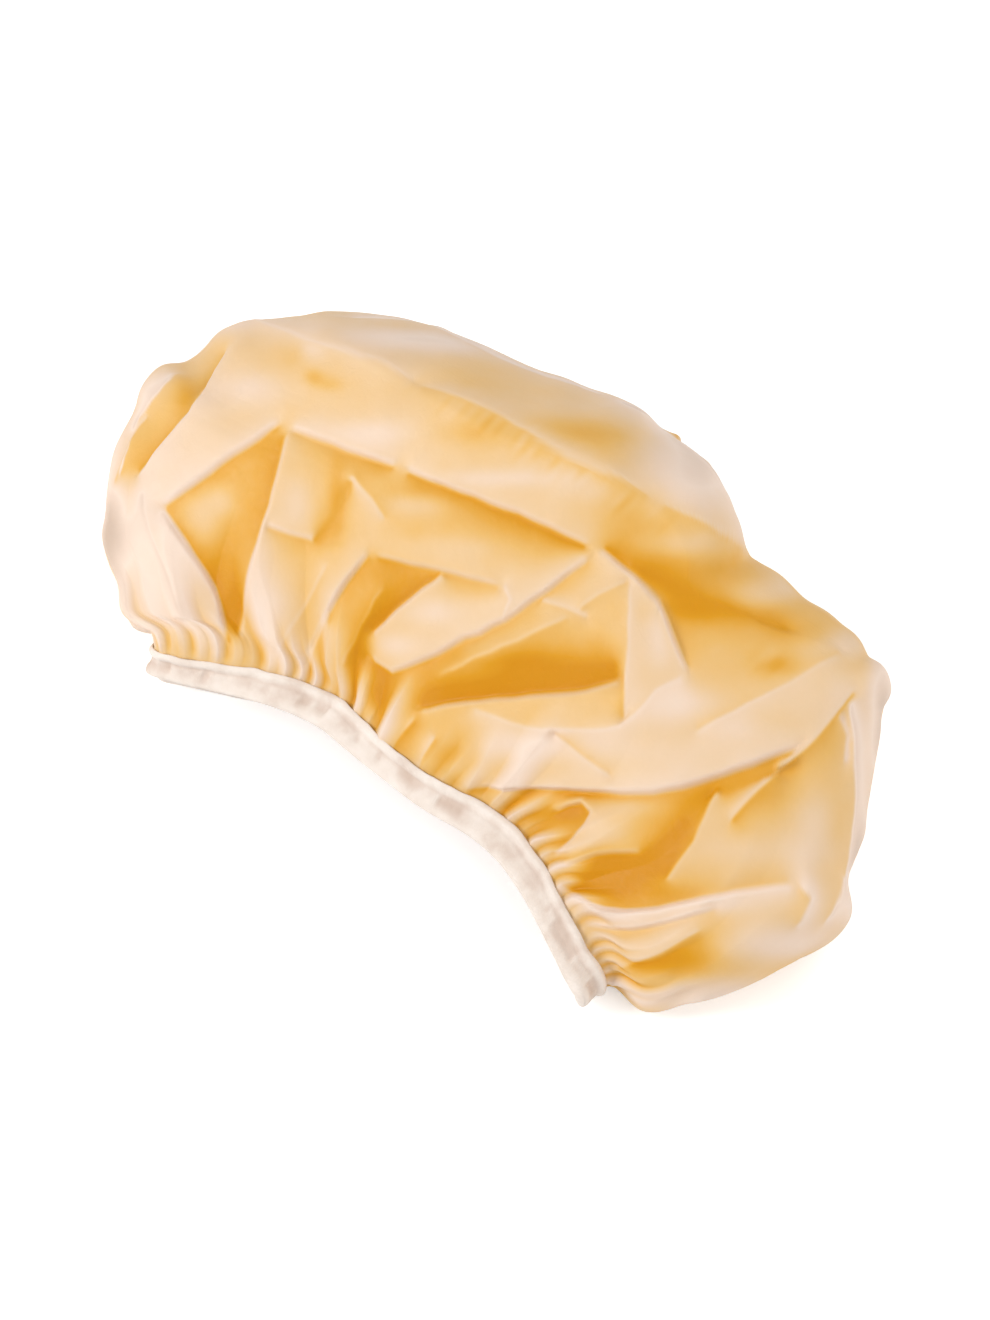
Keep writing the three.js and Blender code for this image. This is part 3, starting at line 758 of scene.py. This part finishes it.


# Where the lining stands off from the film or lies against it, and pale blobs of painted highlight:
# pixel of the photograph, radius in pixels, and millimetres more or less than elsewhere
STAND_OFFS_AND_HIGHLIGHTS = [
    # film alone along the outline, whose greyer colour is partly painted shade
    ((112, 560), (26, 80), 5), ((112, 500), (14, 80), 4), ((250, 330), (50, 10), 3),
    ((470, 345), (130, 13), 5), ((700, 470), (60, 50), 5.4), ((735, 535), (22, 30), 3),
    ((880, 730), (12, 80), 7.5), ((856, 870), (15, 70), 6.5), ((800, 945), (50, 20), 3),
    ((700, 990), (80, 13), 4),
    # far side of the crown
    ((580, 446), (70, 26), -2.2), ((480, 385), (90, 24), -0.6),
    # long roll; the pale streaks along its lower front are painted highlight
    ((318, 354), (12, 12), 3), ((318, 381), (10, 7), -1.6), ((334, 388), (16, 7), -1.2),
    ((250, 390), (40, 18), 2.2), ((370, 435), (60, 14), 2.4), ((510, 436), (110, 15), -1.6),
    ((500, 480), (90, 9), 1.8), ((590, 490), (30, 14), 1.6), ((690, 545), (50, 13), 2),
    ((770, 596), (44, 12), 2.6), ((840, 650), (30, 14), 3),
    # left lobe and left milky panel
    ((185, 400), (12, 36), -1.2), ((150, 390), (14, 14), 1.6), ((165, 590), (26, 50), 3),
    # panels above the left half of the hem; the pale middle of the left diamond is painted highlight
    ((200, 520), (22, 34), 2.4), ((220, 500), (16, 16), 1.6), ((236, 590), (8, 30), -1),
    ((300, 505), (15, 26), 1.8), ((336, 500), (9, 36), -1.6), ((270, 610), (18, 40), 2.4),
    ((415, 505), (34, 12), 2), ((440, 548), (60, 12), 0.8), ((360, 490), (24, 12), 0.8),
    ((430, 612), (34, 14), 1.8), ((395, 645), (24, 12), 2), ((510, 605), (60, 10), 0.8),
    ((340, 600), (12, 40), -1.4), ((400, 705), (60, 24), -1.2), ((500, 660), (60, 12), -1.6),
    # big pale roll and right shoulder
    ((540, 745), (70, 16), 2.4), ((640, 752), (90, 12), 0.4), ((440, 772), (26, 14), 2),
    ((690, 705), (44, 18), 2.4), ((660, 640), (12, 36), 1.6), ((640, 700), (20, 20), 1.2),
    ((740, 730), (40, 14), 1.2), ((776, 668), (26, 13), -1.6), ((840, 700), (16, 30), 1),
    ((700, 610), (70, 14), -1.4), ((775, 725), (30, 16), -0.8),
    # pocket and panels near the right end of the hem
    ((620, 806), (40, 10), 1.6), ((560, 830), (14, 9), 1.2), ((622, 862), (46, 16), -2.4),
    ((690, 800), (20, 20), -1.2), ((760, 800), (30, 14), -0.6), ((760, 850), (70, 16), 1.2),
    ((690, 905), (60, 9), 2), ((770, 908), (34, 16), -1), ((600, 932), (26, 16), 3),
    ((660, 960), (44, 12), -1.4), ((640, 986), (40, 8), -1.6), ((760, 945), (50, 14), 1),
    ((815, 820), (20, 40), 1.6),
]
# Fine strokes across the long roll: middle pixel, reach along and across it, in pixels
STROKE_PATCHES = [((560, 470), 120, 15), ((776, 668), 24, 14)]
STROKE_HEADING = math.radians(29)
STROKE_PITCH = 6.5
STROKE_STRETCH = 5
STROKE_SLANT = 1 / 3
STROKE_TONE = 0.9 * MM

BASE_STAND_OFF = 4.2 * MM
HIDDEN_STAND_OFF = 0.8 * MM
HIDDEN_DRIFT = 3 * MM
DRIFT_SIZE = 60 * MM
PATCHY_TONE = 0.5 * MM
PATCH_SIZE = 26 * MM
WRINKLE_TONE_SHARE = 0.3
SEEN_EDGE = 0.15


def stand_off_with_highlights(facing, points):
    """How far the lining stands off from the film over the whole cap before the creases, with pale
    blobs of painted highlight.
    """
    pixels = to_pixels(points)
    seen = smooth(facing / SEEN_EDGE)
    total = BASE_STAND_OFF + 0 * facing
    for centre, radius, change in STAND_OFFS_AND_HIGHLIGHTS:
        away = (pixels - np.array(centre)) / np.array(radius)
        total = total + change * MM * np.exp(-(away ** 2).sum(-1)) * seen
    heading = np.array([math.cos(STROKE_HEADING), math.sin(STROKE_HEADING)])
    across = np.array([-heading[1], heading[0]])
    run, side = pixels @ heading, pixels @ across
    slanted = np.stack([run + side * STROKE_SLANT, side / STROKE_STRETCH, 0 * run], -1)
    strokes = noise(slanted, STROKE_PITCH, seed=95)
    for centre, reach, width in STROKE_PATCHES:
        away = pixels - np.array(centre)
        near = np.exp(-((away @ heading / reach) ** 2) - (away @ across / width) ** 2)
        total = total + STROKE_TONE * strokes * near * seen
    drift = layered(points, DRIFT_SIZE, seed=90)
    total = total + (1 - seen) * (HIDDEN_STAND_OFF + HIDDEN_DRIFT * drift)
    return total + PATCHY_TONE * layered(points, PATCH_SIZE, seed=80, layers=3)


# The film between the creases hangs taut, like a cloth over wires: this solver lays it there
LEAST_STEP = 0.1 * MM
SLACK_LENGTH = 34 * MM
SWEEPS = 140
RELAXATION = 1.85
CREASE_ROUNDING_STEPS = 2
TONE_REACH = 11 * MM


def settled(points, held, heights, slack_length):
    """Each free place settles at the mean of its neighbours, drawn a little towards zero."""
    roundward = np.linalg.norm(np.roll(points, -1, 1) - points, axis=-1)
    upward = np.linalg.norm(points[1:] - points[:-1], axis=-1)
    row_step = np.vstack([upward, upward[-1:]])
    column_step = np.maximum((roundward + np.roll(roundward, 1, 1)) / 2, LEAST_STEP)
    pull_right = row_step / np.maximum(roundward, LEAST_STEP)
    pull_left = np.roll(pull_right, 1, 1)
    pull_up = (column_step[:-1] + column_step[1:]) / 2 / upward
    total = pull_right + pull_left + row_step * column_step / slack_length ** 2
    total[:-1] += pull_up
    total[1:] += pull_up
    row, column = np.indices(held.shape)
    checker = [((row + column) % 2 == half) & ~held for half in (0, 1)]
    level = np.where(held, heights, 0.0)
    for _ in range(SWEEPS):
        for turn in checker:
            pulled = pull_right * np.roll(level, -1, 1) + pull_left * np.roll(level, 1, 1)
            pulled[:-1] += pull_up * level[1:]
            pulled[1:] += pull_up * level[:-1]
            level = np.where(turn, level + RELAXATION * (pulled / total - level), level)
    return level


# How the lining lies under the film, and how high both stay above the surface below
LINING_GAP = 0.25 * MM
LINING_SAG = 1.2 * MM
SAG_SIZE = 30 * MM
LINING_LOW_STEPS = 5
LINING_ROUNDING_STEPS = 10
FILM_FLOOR = 0.2 * MM
LINING_FLOOR = 0.6 * MM


def crease_marks(around, along, points):
    """Places that creases hold, their heights, places with a set tone, tones, and the pale edge
    lines, which are partly painted highlight.
    """
    held = along < TAPE_EDGE_ALONG
    level = np.zeros(len(points))
    tone_set = np.zeros(len(points), bool)
    tone = np.zeros(len(points))
    edge_highlight = np.zeros(len(points))
    for crease in random_creases() + photo_creases():
        picked = crease.close_to(points)
        if not len(picked):
            continue
        gap, side, share = crease.nearest(around[picked], along[picked], points[picked])
        near_hem = smooth((along[picked] - TAPE_EDGE_ALONG) / HEM_FADE)
        on_line, height = crease.holds(gap, side, share)
        on_line &= near_hem > 0
        held[picked[on_line]] = True
        level[picked[on_line]] = (height * near_hem)[on_line]
        set_here, side_tone = crease.tone(gap, side, share)
        tone_set[picked[set_here]] = True
        tone[picked[set_here]] = side_tone[set_here]
        line_highlight = crease.edge_highlight(gap, share)
        edge_highlight[picked] = np.maximum(edge_highlight[picked], line_highlight)
    return held, level, tone_set, tone, edge_highlight


def cap_surface():
    """Film and lining as grids of points, and how far the lining seems to stand off, with painted
    highlight in the pale edge lines and in some pale blobs.
    """
    around_grid, along_grid = grid_places()
    shape = along_grid.shape
    around, along = around_grid.ravel(), along_grid.ravel()
    points = cap_skin(around, along)
    base_tone = stand_off_with_highlights(facing_eye(around, along, points), points).reshape(shape)
    marks = (part.reshape(shape) for part in crease_marks(around, along, points))
    held, level, tone_set, tone, edge_highlight = marks

    grid = points.reshape(*shape, 3)
    level = spread(settled(grid, held, level, SLACK_LENGTH), CREASE_ROUNDING_STEPS)
    tone_change = settled(grid, tone_set, tone - base_tone, TONE_REACH)
    # Pale lines along folded edges go on top: partly the film whitened at the fold, partly painted
    # highlight
    tone = spread(base_tone + tone_change, 1) + edge_highlight

    gathers, gather_tone = (part.reshape(shape) for part in gathers_at(around, along, points))
    wrinkles = wrinkle_height(points, along).reshape(shape)
    near_rim = 1 - smooth((along_grid - TAPE_EDGE_ALONG) / RIM_STAND_REACH)
    tone = blend(tone, RIM_STAND, RIM_STAND_SHARE * near_rim)
    tone = tone + gather_tone + WRINKLE_TONE_SHARE * wrinkles
    height = level + gathers + wrinkles + tucked_pleats(around, along).reshape(shape)
    height = height * smooth((1 - along_grid) / CROWN_FADE)

    lining = spread(spread(height, LINING_LOW_STEPS, lowest=True), LINING_ROUNDING_STEPS)
    sag = smooth(layered(points, SAG_SIZE, seed=66)).reshape(shape)
    lining = np.minimum(lining - LINING_SAG * (1 + sag), height - LINING_GAP)
    free = smooth((along_grid - TAPE_EDGE_ALONG / 2) / TAPE_EDGE_ALONG)
    lining = blend(height - LINING_GAP, lining, free)

    normals = outward(around, np.clip(along, TUCK_ALONG, LAST_ALONG)).reshape(*shape, 3)
    film_points = grid + normals * height[..., None]
    lining_points = grid + normals * lining[..., None]
    film_points[..., 2] = np.maximum(film_points[..., 2], FILM_FLOOR)
    lining_points[..., 2] = np.maximum(lining_points[..., 2], LINING_FLOOR)
    return film_points, lining_points, tone


def to_frame(points):
    """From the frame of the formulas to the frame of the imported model."""
    low, high = (Vector(corner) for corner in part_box("hem_binding"))
    shift = Vector((
        (low.x + high.x) / 2 - HEM_OFFSET,
        high.y + LIP_REACH - LIP_SET_BACK - TAPE_WIDTH / 2,
        0,
    ))
    return points + np.array(shift)


def linked(name, data):
    """A new object of the scene that shows the data."""
    piece = bpy.data.objects.new(name, data)
    bpy.context.scene.collection.objects.link(piece)
    return piece


def smooth_mesh(name, points, faces, attributes):
    mesh = bpy.data.meshes.new(name)
    mesh.from_pydata(points.tolist(), [], faces)
    for label, values in attributes:
        layer = mesh.attributes.new(label, "FLOAT", "POINT")
        layer.data.foreach_set("value", values.astype(np.float32))
    mesh.polygons.foreach_set("use_smooth", np.ones(len(mesh.polygons), bool))
    mesh.update()
    return linked(name, mesh)


def grid_mesh(name, points, closed_tip, attributes=()):
    """Mesh of a grid that wraps round, closed by a fan at closed_tip."""
    rows, columns = points.shape[:2]
    index = np.arange(rows * columns).reshape(rows, columns)
    right = np.roll(index, -1, 1)
    quads = np.stack([index[:-1], index[1:], right[1:], right[:-1]], -1).reshape(-1, 4)
    fan = np.stack([index[-1], np.full(columns, rows * columns), right[-1]], -1)
    with_tip = [(label, np.append(values.ravel(), values[-1].mean()))
                for label, values in attributes]
    vertices = np.vstack([points.reshape(-1, 3), closed_tip])
    return smooth_mesh(name, vertices, quads.tolist() + fan.tolist(), with_tip)


def tube_mesh(name, loop, attributes=()):
    """Mesh of a grid of points that wraps both ways."""
    rows, columns = loop.shape[:2]
    index = np.arange(rows * columns).reshape(rows, columns)
    down, right = np.roll(index, -1, 0), np.roll(index, -1, 1)
    quads = np.stack([index, right, np.roll(down, -1, 1), down], -1).reshape(-1, 4)
    return smooth_mesh(name, to_frame(loop.reshape(-1, 3)), quads.tolist(), attributes)


# Hem

HEM_COLUMNS_TOP = 420
HEM_COLUMNS_UNDER = 180
RIM_WAVE = 0.45 * MM
RIM_WAVE_SIZE = 9 * MM
RIM_WAVE_SHARE = 1.2
FOLD_WAVE_SHARE = 0.3
BODY_WAVE = 0.35 * MM
BODY_WAVE_SIZE = 16 * MM
INNER_WAVE_SHARE = 0.6
RIM_HEIGHT = 0.9 * MM
GROOVE_DEPTH = 0.45 * MM
SEAT_DEPTH = 0.2 * MM
BELLY_HEIGHT = 0.35 * MM
DIMPLE_DEPTH = 0.9 * MM
DIMPLE_SIZE = 3.4 * MM
DIMPLE_MEAN, DIMPLE_SPREAD = 0.45, 1.9
GROUP_SIZE = 7 * DIMPLE_SIZE
GROUP_MEAN, GROUP_SPREAD = 0.8, 1.2
FOLD_START = 0.86
TAPE_STEPS = 23
FOLD_STEPS = 9
FLOOR_GAP = 0.05 * MM

# Where each swell and hollow lies across the tape, from 0 at the rim to 1 at the fold, and its reach
RIM_SWELL = (0.14, 0.13)
GROOVE_SWELL = (0.34, 0.07)
SEAT_SWELL = (0.52, 0.19)
BELLY_SWELL = (0.8, 0.16)


def swell(across, place, reach):
    """A rounded bump, 1 high at its place."""
    return math.exp(-((across - place) / reach) ** 2)


def hem_around():
    return wrapped_shares(np.arange(HEM_COLUMNS_TOP) / HEM_COLUMNS_TOP, HEM_COLUMNS_UNDER)


def tape_section():
    """The U of the folded tape: (share of the half width from rim to fold, outward share)."""
    rim_to_fold = np.linspace(-1, FOLD_START, TAPE_STEPS)
    turn = [(FOLD_START + (1 - FOLD_START) * math.sin(angle), math.cos(angle))
            for angle in np.linspace(0, HALF_TURN, FOLD_STEPS)[1:-1]]
    return [(share, 1.0) for share in rim_to_fold] + turn + [
        (share, -1.0) for share in rim_to_fold[::-1]]


def make_binding():
    """The tape, folded over both films, with a rolled rim, a groove and dimples."""
    middle, to_mouth, out = hem_frames(hem_around())
    steps = np.linalg.norm(np.roll(middle, -1, 0) - middle, axis=-1)
    length = np.concatenate([[0], np.cumsum(steps)[:-1]])
    dimple = smooth(DIMPLE_MEAN + DIMPLE_SPREAD * noise(middle, DIMPLE_SIZE, seed=31))
    group = smooth(GROUP_MEAN + GROUP_SPREAD * noise(middle, GROUP_SIZE, seed=33))
    dimple_depth = DIMPLE_DEPTH * dimple * group
    rim_wave = RIM_WAVE * layered(middle, RIM_WAVE_SIZE, seed=35)
    body_wave = BODY_WAVE * layered(middle, BODY_WAVE_SIZE, seed=37)

    section = tape_section()
    outer_rows, inner_rows, hollows = [], [], []
    for share, side in section:
        width = TAPE_WIDTH / 2 * share
        across = (share + 1) / 2
        seat = swell(across, *SEAT_SWELL) * (SEAT_DEPTH + dimple_depth)
        hollow = GROOVE_DEPTH * swell(across, *GROOVE_SWELL) + seat
        raised = RIM_HEIGHT * swell(across, *RIM_SWELL) + BELLY_HEIGHT * swell(across, *BELLY_SWELL)
        hollows.append(hollow * (side == 1))
        edge = rim_wave * (FOLD_WAVE_SHARE + RIM_WAVE_SHARE * (1 - across))
        half = HEM_THICKNESS / 2 * side + ((raised - hollow) * side if abs(side) == 1 else 0)
        half = half + body_wave * (1 if side > 0 else INNER_WAVE_SHARE)
        outer_rows.append(middle + to_mouth * (width + edge)[:, None] + out * half[:, None])
        inset = half - TAPE_THICKNESS * side
        width = min(width, TAPE_WIDTH / 2 - TAPE_THICKNESS)
        inner_rows.append(middle + to_mouth * (width + edge)[:, None] + out * inset[:, None])
    loop = np.array(outer_rows + inner_rows[::-1])
    loop[..., 2] = np.maximum(loop[..., 2], FLOOR_GAP)
    rows, columns = loop.shape[:2]
    across = np.repeat(np.array([share for share, _ in section + section[::-1]]), columns)
    # Depth of the hollows in the outer face, by which the tape's colour is darkened as painted shade
    hollow = np.concatenate([np.array(hollows).ravel(), np.zeros(across.size // 2)])
    return tube_mesh("binding_tape", loop, [
        ("tape_across", across), ("tape_length", np.tile(length, rows)), ("tape_hollow", hollow)])


ELASTIC_WIDTH = 7 * MM
ELASTIC_THICKNESS = 1 * MM
ELASTIC_FACE = -1.3 * MM
ELASTIC_CORNER_POWER = 0.3
ELASTIC_SIDES = 20


def make_elastic():
    """Flat elastic inside the folded tape."""
    middle, to_mouth, out = hem_frames(hem_around())
    half_width, half_depth = ELASTIC_WIDTH / 2, ELASTIC_THICKNESS / 2
    rows = []
    for angle in np.linspace(0, FULL_TURN, ELASTIC_SIDES, endpoint=False):
        cosine, sine = math.cos(angle), math.sin(angle)
        across = half_width * math.copysign(abs(cosine) ** ELASTIC_CORNER_POWER, cosine)
        depth = half_depth * math.copysign(abs(sine) ** ELASTIC_CORNER_POWER, sine)
        face = ELASTIC_FACE + half_depth + depth
        rows.append(middle + to_mouth * across + out * face)
    return tube_mesh("flat_elastic", np.array(rows))


# Materials

def node_material(name):
    material = bpy.data.materials.new(name)
    material.use_nodes = True
    tree = material.node_tree
    tree.nodes.clear()
    return material, tree


def add_node(tree, kind, inputs=(), **settings):
    node = tree.nodes.new(kind)
    for key, value in settings.items():
        setattr(node, key, value)
    for key, value in dict(inputs).items():
        if isinstance(value, bpy.types.NodeSocket):
            tree.links.new(value, node.inputs[key])
        else:
            node.inputs[key].default_value = value
    return node


def srgb(code):
    channels = [int(code[i:i + 2], 16) / 255 for i in (0, 2, 4)]
    linear = [c / 12.92 if c <= 0.04045 else ((c + 0.055) / 1.055) ** 2.4 for c in channels]
    return (*linear, 1)


def color_ramp(tree, factor, stops):
    node = add_node(tree, "ShaderNodeValToRGB", {"Fac": factor})
    ramp = node.color_ramp
    while len(ramp.elements) < len(stops):
        ramp.elements.new(0.5)
    for element, (place, code) in zip(ramp.elements, stops):
        element.position = place
        element.color = srgb(code)
    return node.outputs["Color"]


def attribute(tree, name):
    return add_node(tree, "ShaderNodeAttribute", attribute_name=name).outputs["Fac"]


def object_coords(tree):
    return add_node(tree, "ShaderNodeTexCoord").outputs["Object"]


def maths(tree, operation, *values):
    node = add_node(tree, "ShaderNodeMath", enumerate(values), operation=operation)
    return node.outputs[0]


def noise_texture(tree, coords, **inputs):
    return add_node(tree, "ShaderNodeTexNoise", {"Vector": coords, **inputs}).outputs["Fac"]


def bumped(tree, height, strength, distance, **inputs):
    inputs.update(Height=height, Strength=strength, Distance=distance)
    return add_node(tree, "ShaderNodeBump", inputs).outputs["Normal"]


def map_range(tree, value, start, end):
    """Takes start[0] to start[1], end[0] to end[1], and what lies between them evenly."""
    node = add_node(tree, "ShaderNodeMapRange", {
        "Value": value, "From Min": start[0], "From Max": end[0],
        "To Min": start[1], "To Max": end[1]})
    return node.outputs["Result"]


def show(tree, shader):
    add_node(tree, "ShaderNodeOutputMaterial", {"Surface": shader.outputs[0]})


def show_lit_through(tree, share, surface_inputs, glow_inputs):
    """A glossy surface, and a share of the light comes through from behind."""
    surface = add_node(tree, "ShaderNodeBsdfPrincipled", surface_inputs)
    glow = add_node(tree, "ShaderNodeBsdfTranslucent", glow_inputs)
    show(tree, add_node(tree, "ShaderNodeMixShader", {
        "Fac": share, 1: surface.outputs[0], 2: glow.outputs[0]}))


GAP_SPAN = 12 * MM
MOTTLE = 0.06
FILM_GLOW_SHARE = 0.22
LINING_GLOW_SHARE = 0.2

# Value of the film's creeping pattern, and how rough the film is there
SMOOTHEST_FILM = (0.3, 0.42)
ROUGHEST_FILM = (0.7, 0.56)

# Film colour by how far the lining seems to stand off: amber where the film lies on the yellow
# lining, paler where it stands away. The brightest stop, near 0.69, is partly painted highlight,
# reached by the pale lines along folded edges and by lit flaps; the greyer last stops are partly the
# film's own colour with no lining behind it and partly painted shade.
FILM_COLOURS = [
    (0.0, "DF9806"), (0.08, "E6A41C"), (0.16, "ECB348"), (0.25, "F1C472"), (0.34, "F3CF94"),
    (0.44, "F4D7AE"), (0.56, "F7E0C7"), (0.69, "FBE9D8"), (0.82, "F0DCCA"), (1.0, "DAC5B2"),
]
LINING_COLOURS = [(0.3, "EDA93A"), (0.5, "F2B44C"), (0.7, "F6C269")]


def film_material():
    material, tree = node_material("frosted_film_look")
    coords = object_coords(tree)
    mottle = noise_texture(tree, coords, Scale=90.0, Detail=4.0, Roughness=0.6)
    scaled = maths(tree, "MULTIPLY", attribute(tree, "film_gap_and_highlight"), 1 / GAP_SPAN)
    shaken = maths(tree, "MULTIPLY_ADD", mottle, MOTTLE, scaled)
    colour = color_ramp(tree, maths(tree, "SUBTRACT", shaken, MOTTLE / 2), FILM_COLOURS)
    grain = noise_texture(tree, coords, Scale=900.0, Detail=3.0, Roughness=0.6)
    creep = noise_texture(tree, coords, Scale=260.0, Detail=5.0, Roughness=0.55, Distortion=0.8)
    fine = bumped(tree, grain, strength=0.12, distance=0.0003)
    normal = bumped(tree, creep, strength=0.16, distance=0.001, Normal=fine)
    rough = map_range(tree, creep, SMOOTHEST_FILM, ROUGHEST_FILM)
    show_lit_through(
        tree, FILM_GLOW_SHARE,
        {"Base Color": colour, "Roughness": rough, "Normal": normal, "Specular IOR Level": 0.28},
        {"Color": colour, "Normal": normal})
    return material


def lining_material():
    material, tree = node_material("yellow_lining_look")
    coords = object_coords(tree)
    mottle = noise_texture(tree, coords, Scale=60.0, Detail=4.0, Roughness=0.6)
    colour = color_ramp(tree, mottle, LINING_COLOURS)
    creep = noise_texture(tree, coords, Scale=240.0, Detail=5.0, Roughness=0.55)
    normal = bumped(tree, creep, strength=0.3, distance=0.001)
    show_lit_through(
        tree, LINING_GLOW_SHARE,
        {"Base Color": colour, "Roughness": 0.45, "Normal": normal, "Specular IOR Level": 0.4},
        {"Color": colour})
    return material


# How much darker the tape is painted for each metre of depth in its groove and dimples: painted shade
HOLLOW_SHADE = 330
# Tape colours, dark to pale; the darker stops carry the mottled stain and, in the groove and dimples,
# painted shade
TAPE_COLOURS = [(0, "CBB5A5"), (0.25, "D9C7BA"), (0.45, "E6D9CE"), (0.65, "EEE3DA")]


def tape_material(name="white_tape_look"):
    material, tree = node_material(name)
    coords = object_coords(tree)
    stain = noise_texture(tree, coords, Scale=120.0, Detail=3.0, Roughness=0.5)
    # Painted shade: the colour darkens with the depth of the groove and dimples
    shade = maths(tree, "MULTIPLY", attribute(tree, "tape_hollow"), HOLLOW_SHADE)
    colour = color_ramp(tree, maths(tree, "SUBTRACT", stain, shade), TAPE_COLOURS)
    weave_place = add_node(tree, "ShaderNodeCombineXYZ", {
        "X": attribute(tree, "tape_length"), "Y": attribute(tree, "tape_across")})
    stretched = add_node(tree, "ShaderNodeMapping", {
        "Vector": weave_place.outputs[0], "Scale": (1.0, 0.006, 1.0)})
    ribs = add_node(tree, "ShaderNodeTexWave", {
        "Vector": stretched.outputs[0], "Scale": 420.0, "Distortion": 0.6, "Detail": 1.0})
    fuzz = noise_texture(tree, coords, Scale=1500.0, Detail=4.0, Roughness=0.7)
    ribbed = bumped(tree, ribs.outputs["Fac"], strength=0.25, distance=0.0002)
    show(tree, add_node(tree, "ShaderNodeBsdfPrincipled", {
        "Base Color": colour, "Roughness": 0.8, "Sheen Weight": 0.25, "Sheen Roughness": 0.5,
        "Normal": bumped(tree, fuzz, strength=0.3, distance=0.0003, Normal=ribbed),
        "Specular IOR Level": 0.25}))
    return material


WHITE = (1, 1, 1, 1)
FLOOR_WHITE = (0.9, 0.9, 0.9, 1)

# The floor glows a little for the camera, and more in the distance, out of reach of the lamps:
# metres from the middle, and how strong the glow is there
NEAR_GLOW = (0.5, 0.38)
DISTANT_GLOW = (1.6, 0.53)


def pale_stage_material():
    """White to the camera and in gloss; to the object it is a plain pale floor."""
    material, tree = node_material("stage_white")
    rays = add_node(tree, "ShaderNodeLightPath").outputs
    seen = maths(tree, "MAXIMUM", rays["Is Camera Ray"], rays["Is Glossy Ray"])
    seen = maths(tree, "MAXIMUM", seen, rays["Is Transmission Ray"])
    place = add_node(tree, "ShaderNodeNewGeometry").outputs["Position"]
    away = add_node(tree, "ShaderNodeVectorMath", {0: place}, operation="LENGTH")
    level = map_range(tree, away.outputs["Value"], NEAR_GLOW, DISTANT_GLOW)
    glow = add_node(tree, "ShaderNodeEmission", {
        "Color": WHITE, "Strength": maths(tree, "MULTIPLY", seen, level)})
    surface = add_node(tree, "ShaderNodeBsdfDiffuse", {"Color": FLOOR_WHITE})
    show(tree, add_node(tree, "ShaderNodeAddShader", {0: surface.outputs[0], 1: glow.outputs[0]}))
    return material


# Build

LINING_TIP_INSET = 3 * MM

film_points, lining_points, tone = cap_surface()
crown_tip = plain_skin(np.array([0.5]), np.array([1.0]))
lining_tip = crown_tip - np.array([0, LINING_TIP_INSET, 0])
film = grid_mesh("film_shell", to_frame(film_points), to_frame(crown_tip), [("film_gap_and_highlight", tone)])
lining = grid_mesh("lining_shell", to_frame(lining_points), to_frame(lining_tip))
binding = make_binding()
elastic = make_elastic()

FLOOR_HALF = 40.0
corners = [(x * FLOOR_HALF, y * FLOOR_HALF, 0) for x, y in ((-1, -1), (1, -1), (1, 1), (-1, 1))]
floor_mesh = bpy.data.meshes.new("floor")
floor_mesh.from_pydata(corners, [], [(0, 1, 2, 3)])
floor = linked("floor", floor_mesh)

for piece, material in (
    (film, film_material()),
    (lining, lining_material()),
    (binding, tape_material()),
    (elastic, tape_material("elastic_look")),
    (floor, pale_stage_material()),
):
    piece.data.materials.append(material)

# Lamps, all turned to the middle of the cap: name, place, size, power and colour
LAMPS = [
    ("key", (-0.75, -0.95, 0.85), 0.7, 12.5, (1.0, 0.98, 0.96)),
    ("fill", (1.2, -0.3, 0.9), 1.2, 6.5, (1.0, 0.99, 0.97)),
    ("back", (0.5, 1.2, 1.1), 1.2, 8, (1.0, 0.99, 0.98)),
]
LAMP_AIM = Vector((0, 0, 0.03))
for name, place, size, power, colour in LAMPS:
    light = bpy.data.lights.new(name, "AREA")
    light.shape = "DISK"
    light.size = size
    light.energy = power
    light.color = colour
    lamp = linked(name, light)
    lamp.location = place
    lamp.rotation_euler = (LAMP_AIM - Vector(place)).to_track_quat("-Z", "Y").to_euler()

# The camera sees a white backdrop, and the cap is lit by a dimmer sky
WORLD_LIGHT = 0.52
BACKDROP_LIGHT = 1.0
world = bpy.data.worlds.new("studio")
bpy.context.scene.world = world
world.use_nodes = True
sky = world.node_tree
sky.nodes.clear()
lit, backdrop = (
    add_node(sky, "ShaderNodeBackground", {"Color": WHITE, "Strength": strength}).outputs[0]
    for strength in (WORLD_LIGHT, BACKDROP_LIGHT))
sight = add_node(sky, "ShaderNodeLightPath").outputs["Is Camera Ray"]
shown = add_node(sky, "ShaderNodeMixShader", {"Fac": sight, 1: lit, 2: backdrop})
add_node(sky, "ShaderNodeOutputWorld", {"Surface": shown.outputs[0]})

camera_data = bpy.data.cameras.new("camera")
camera_data.lens = LENS_MM
camera_data.sensor_fit = "VERTICAL"
camera_data.sensor_height = SENSOR_MM
camera_data.clip_start = 0.01
camera = linked("camera", camera_data)
axes = Matrix((RIGHTWARD, UPWARD, BACKWARD)).transposed().to_4x4()
camera.matrix_world = Matrix.Translation(Vector(to_frame(np.array(EYE)))) @ axes
bpy.context.scene.camera = camera
bpy.context.scene.view_settings.view_transform = "Standard"

for piece, node, slot in (
    (film, "outer_film", "frosted_film"),
    (lining, "inner_lining", "yellow_lining"),
    (binding, "hem_binding", "white_tape"),
    (elastic, "hem_elastic", "elastic"),
):
    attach(piece, "root")
    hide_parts(node)
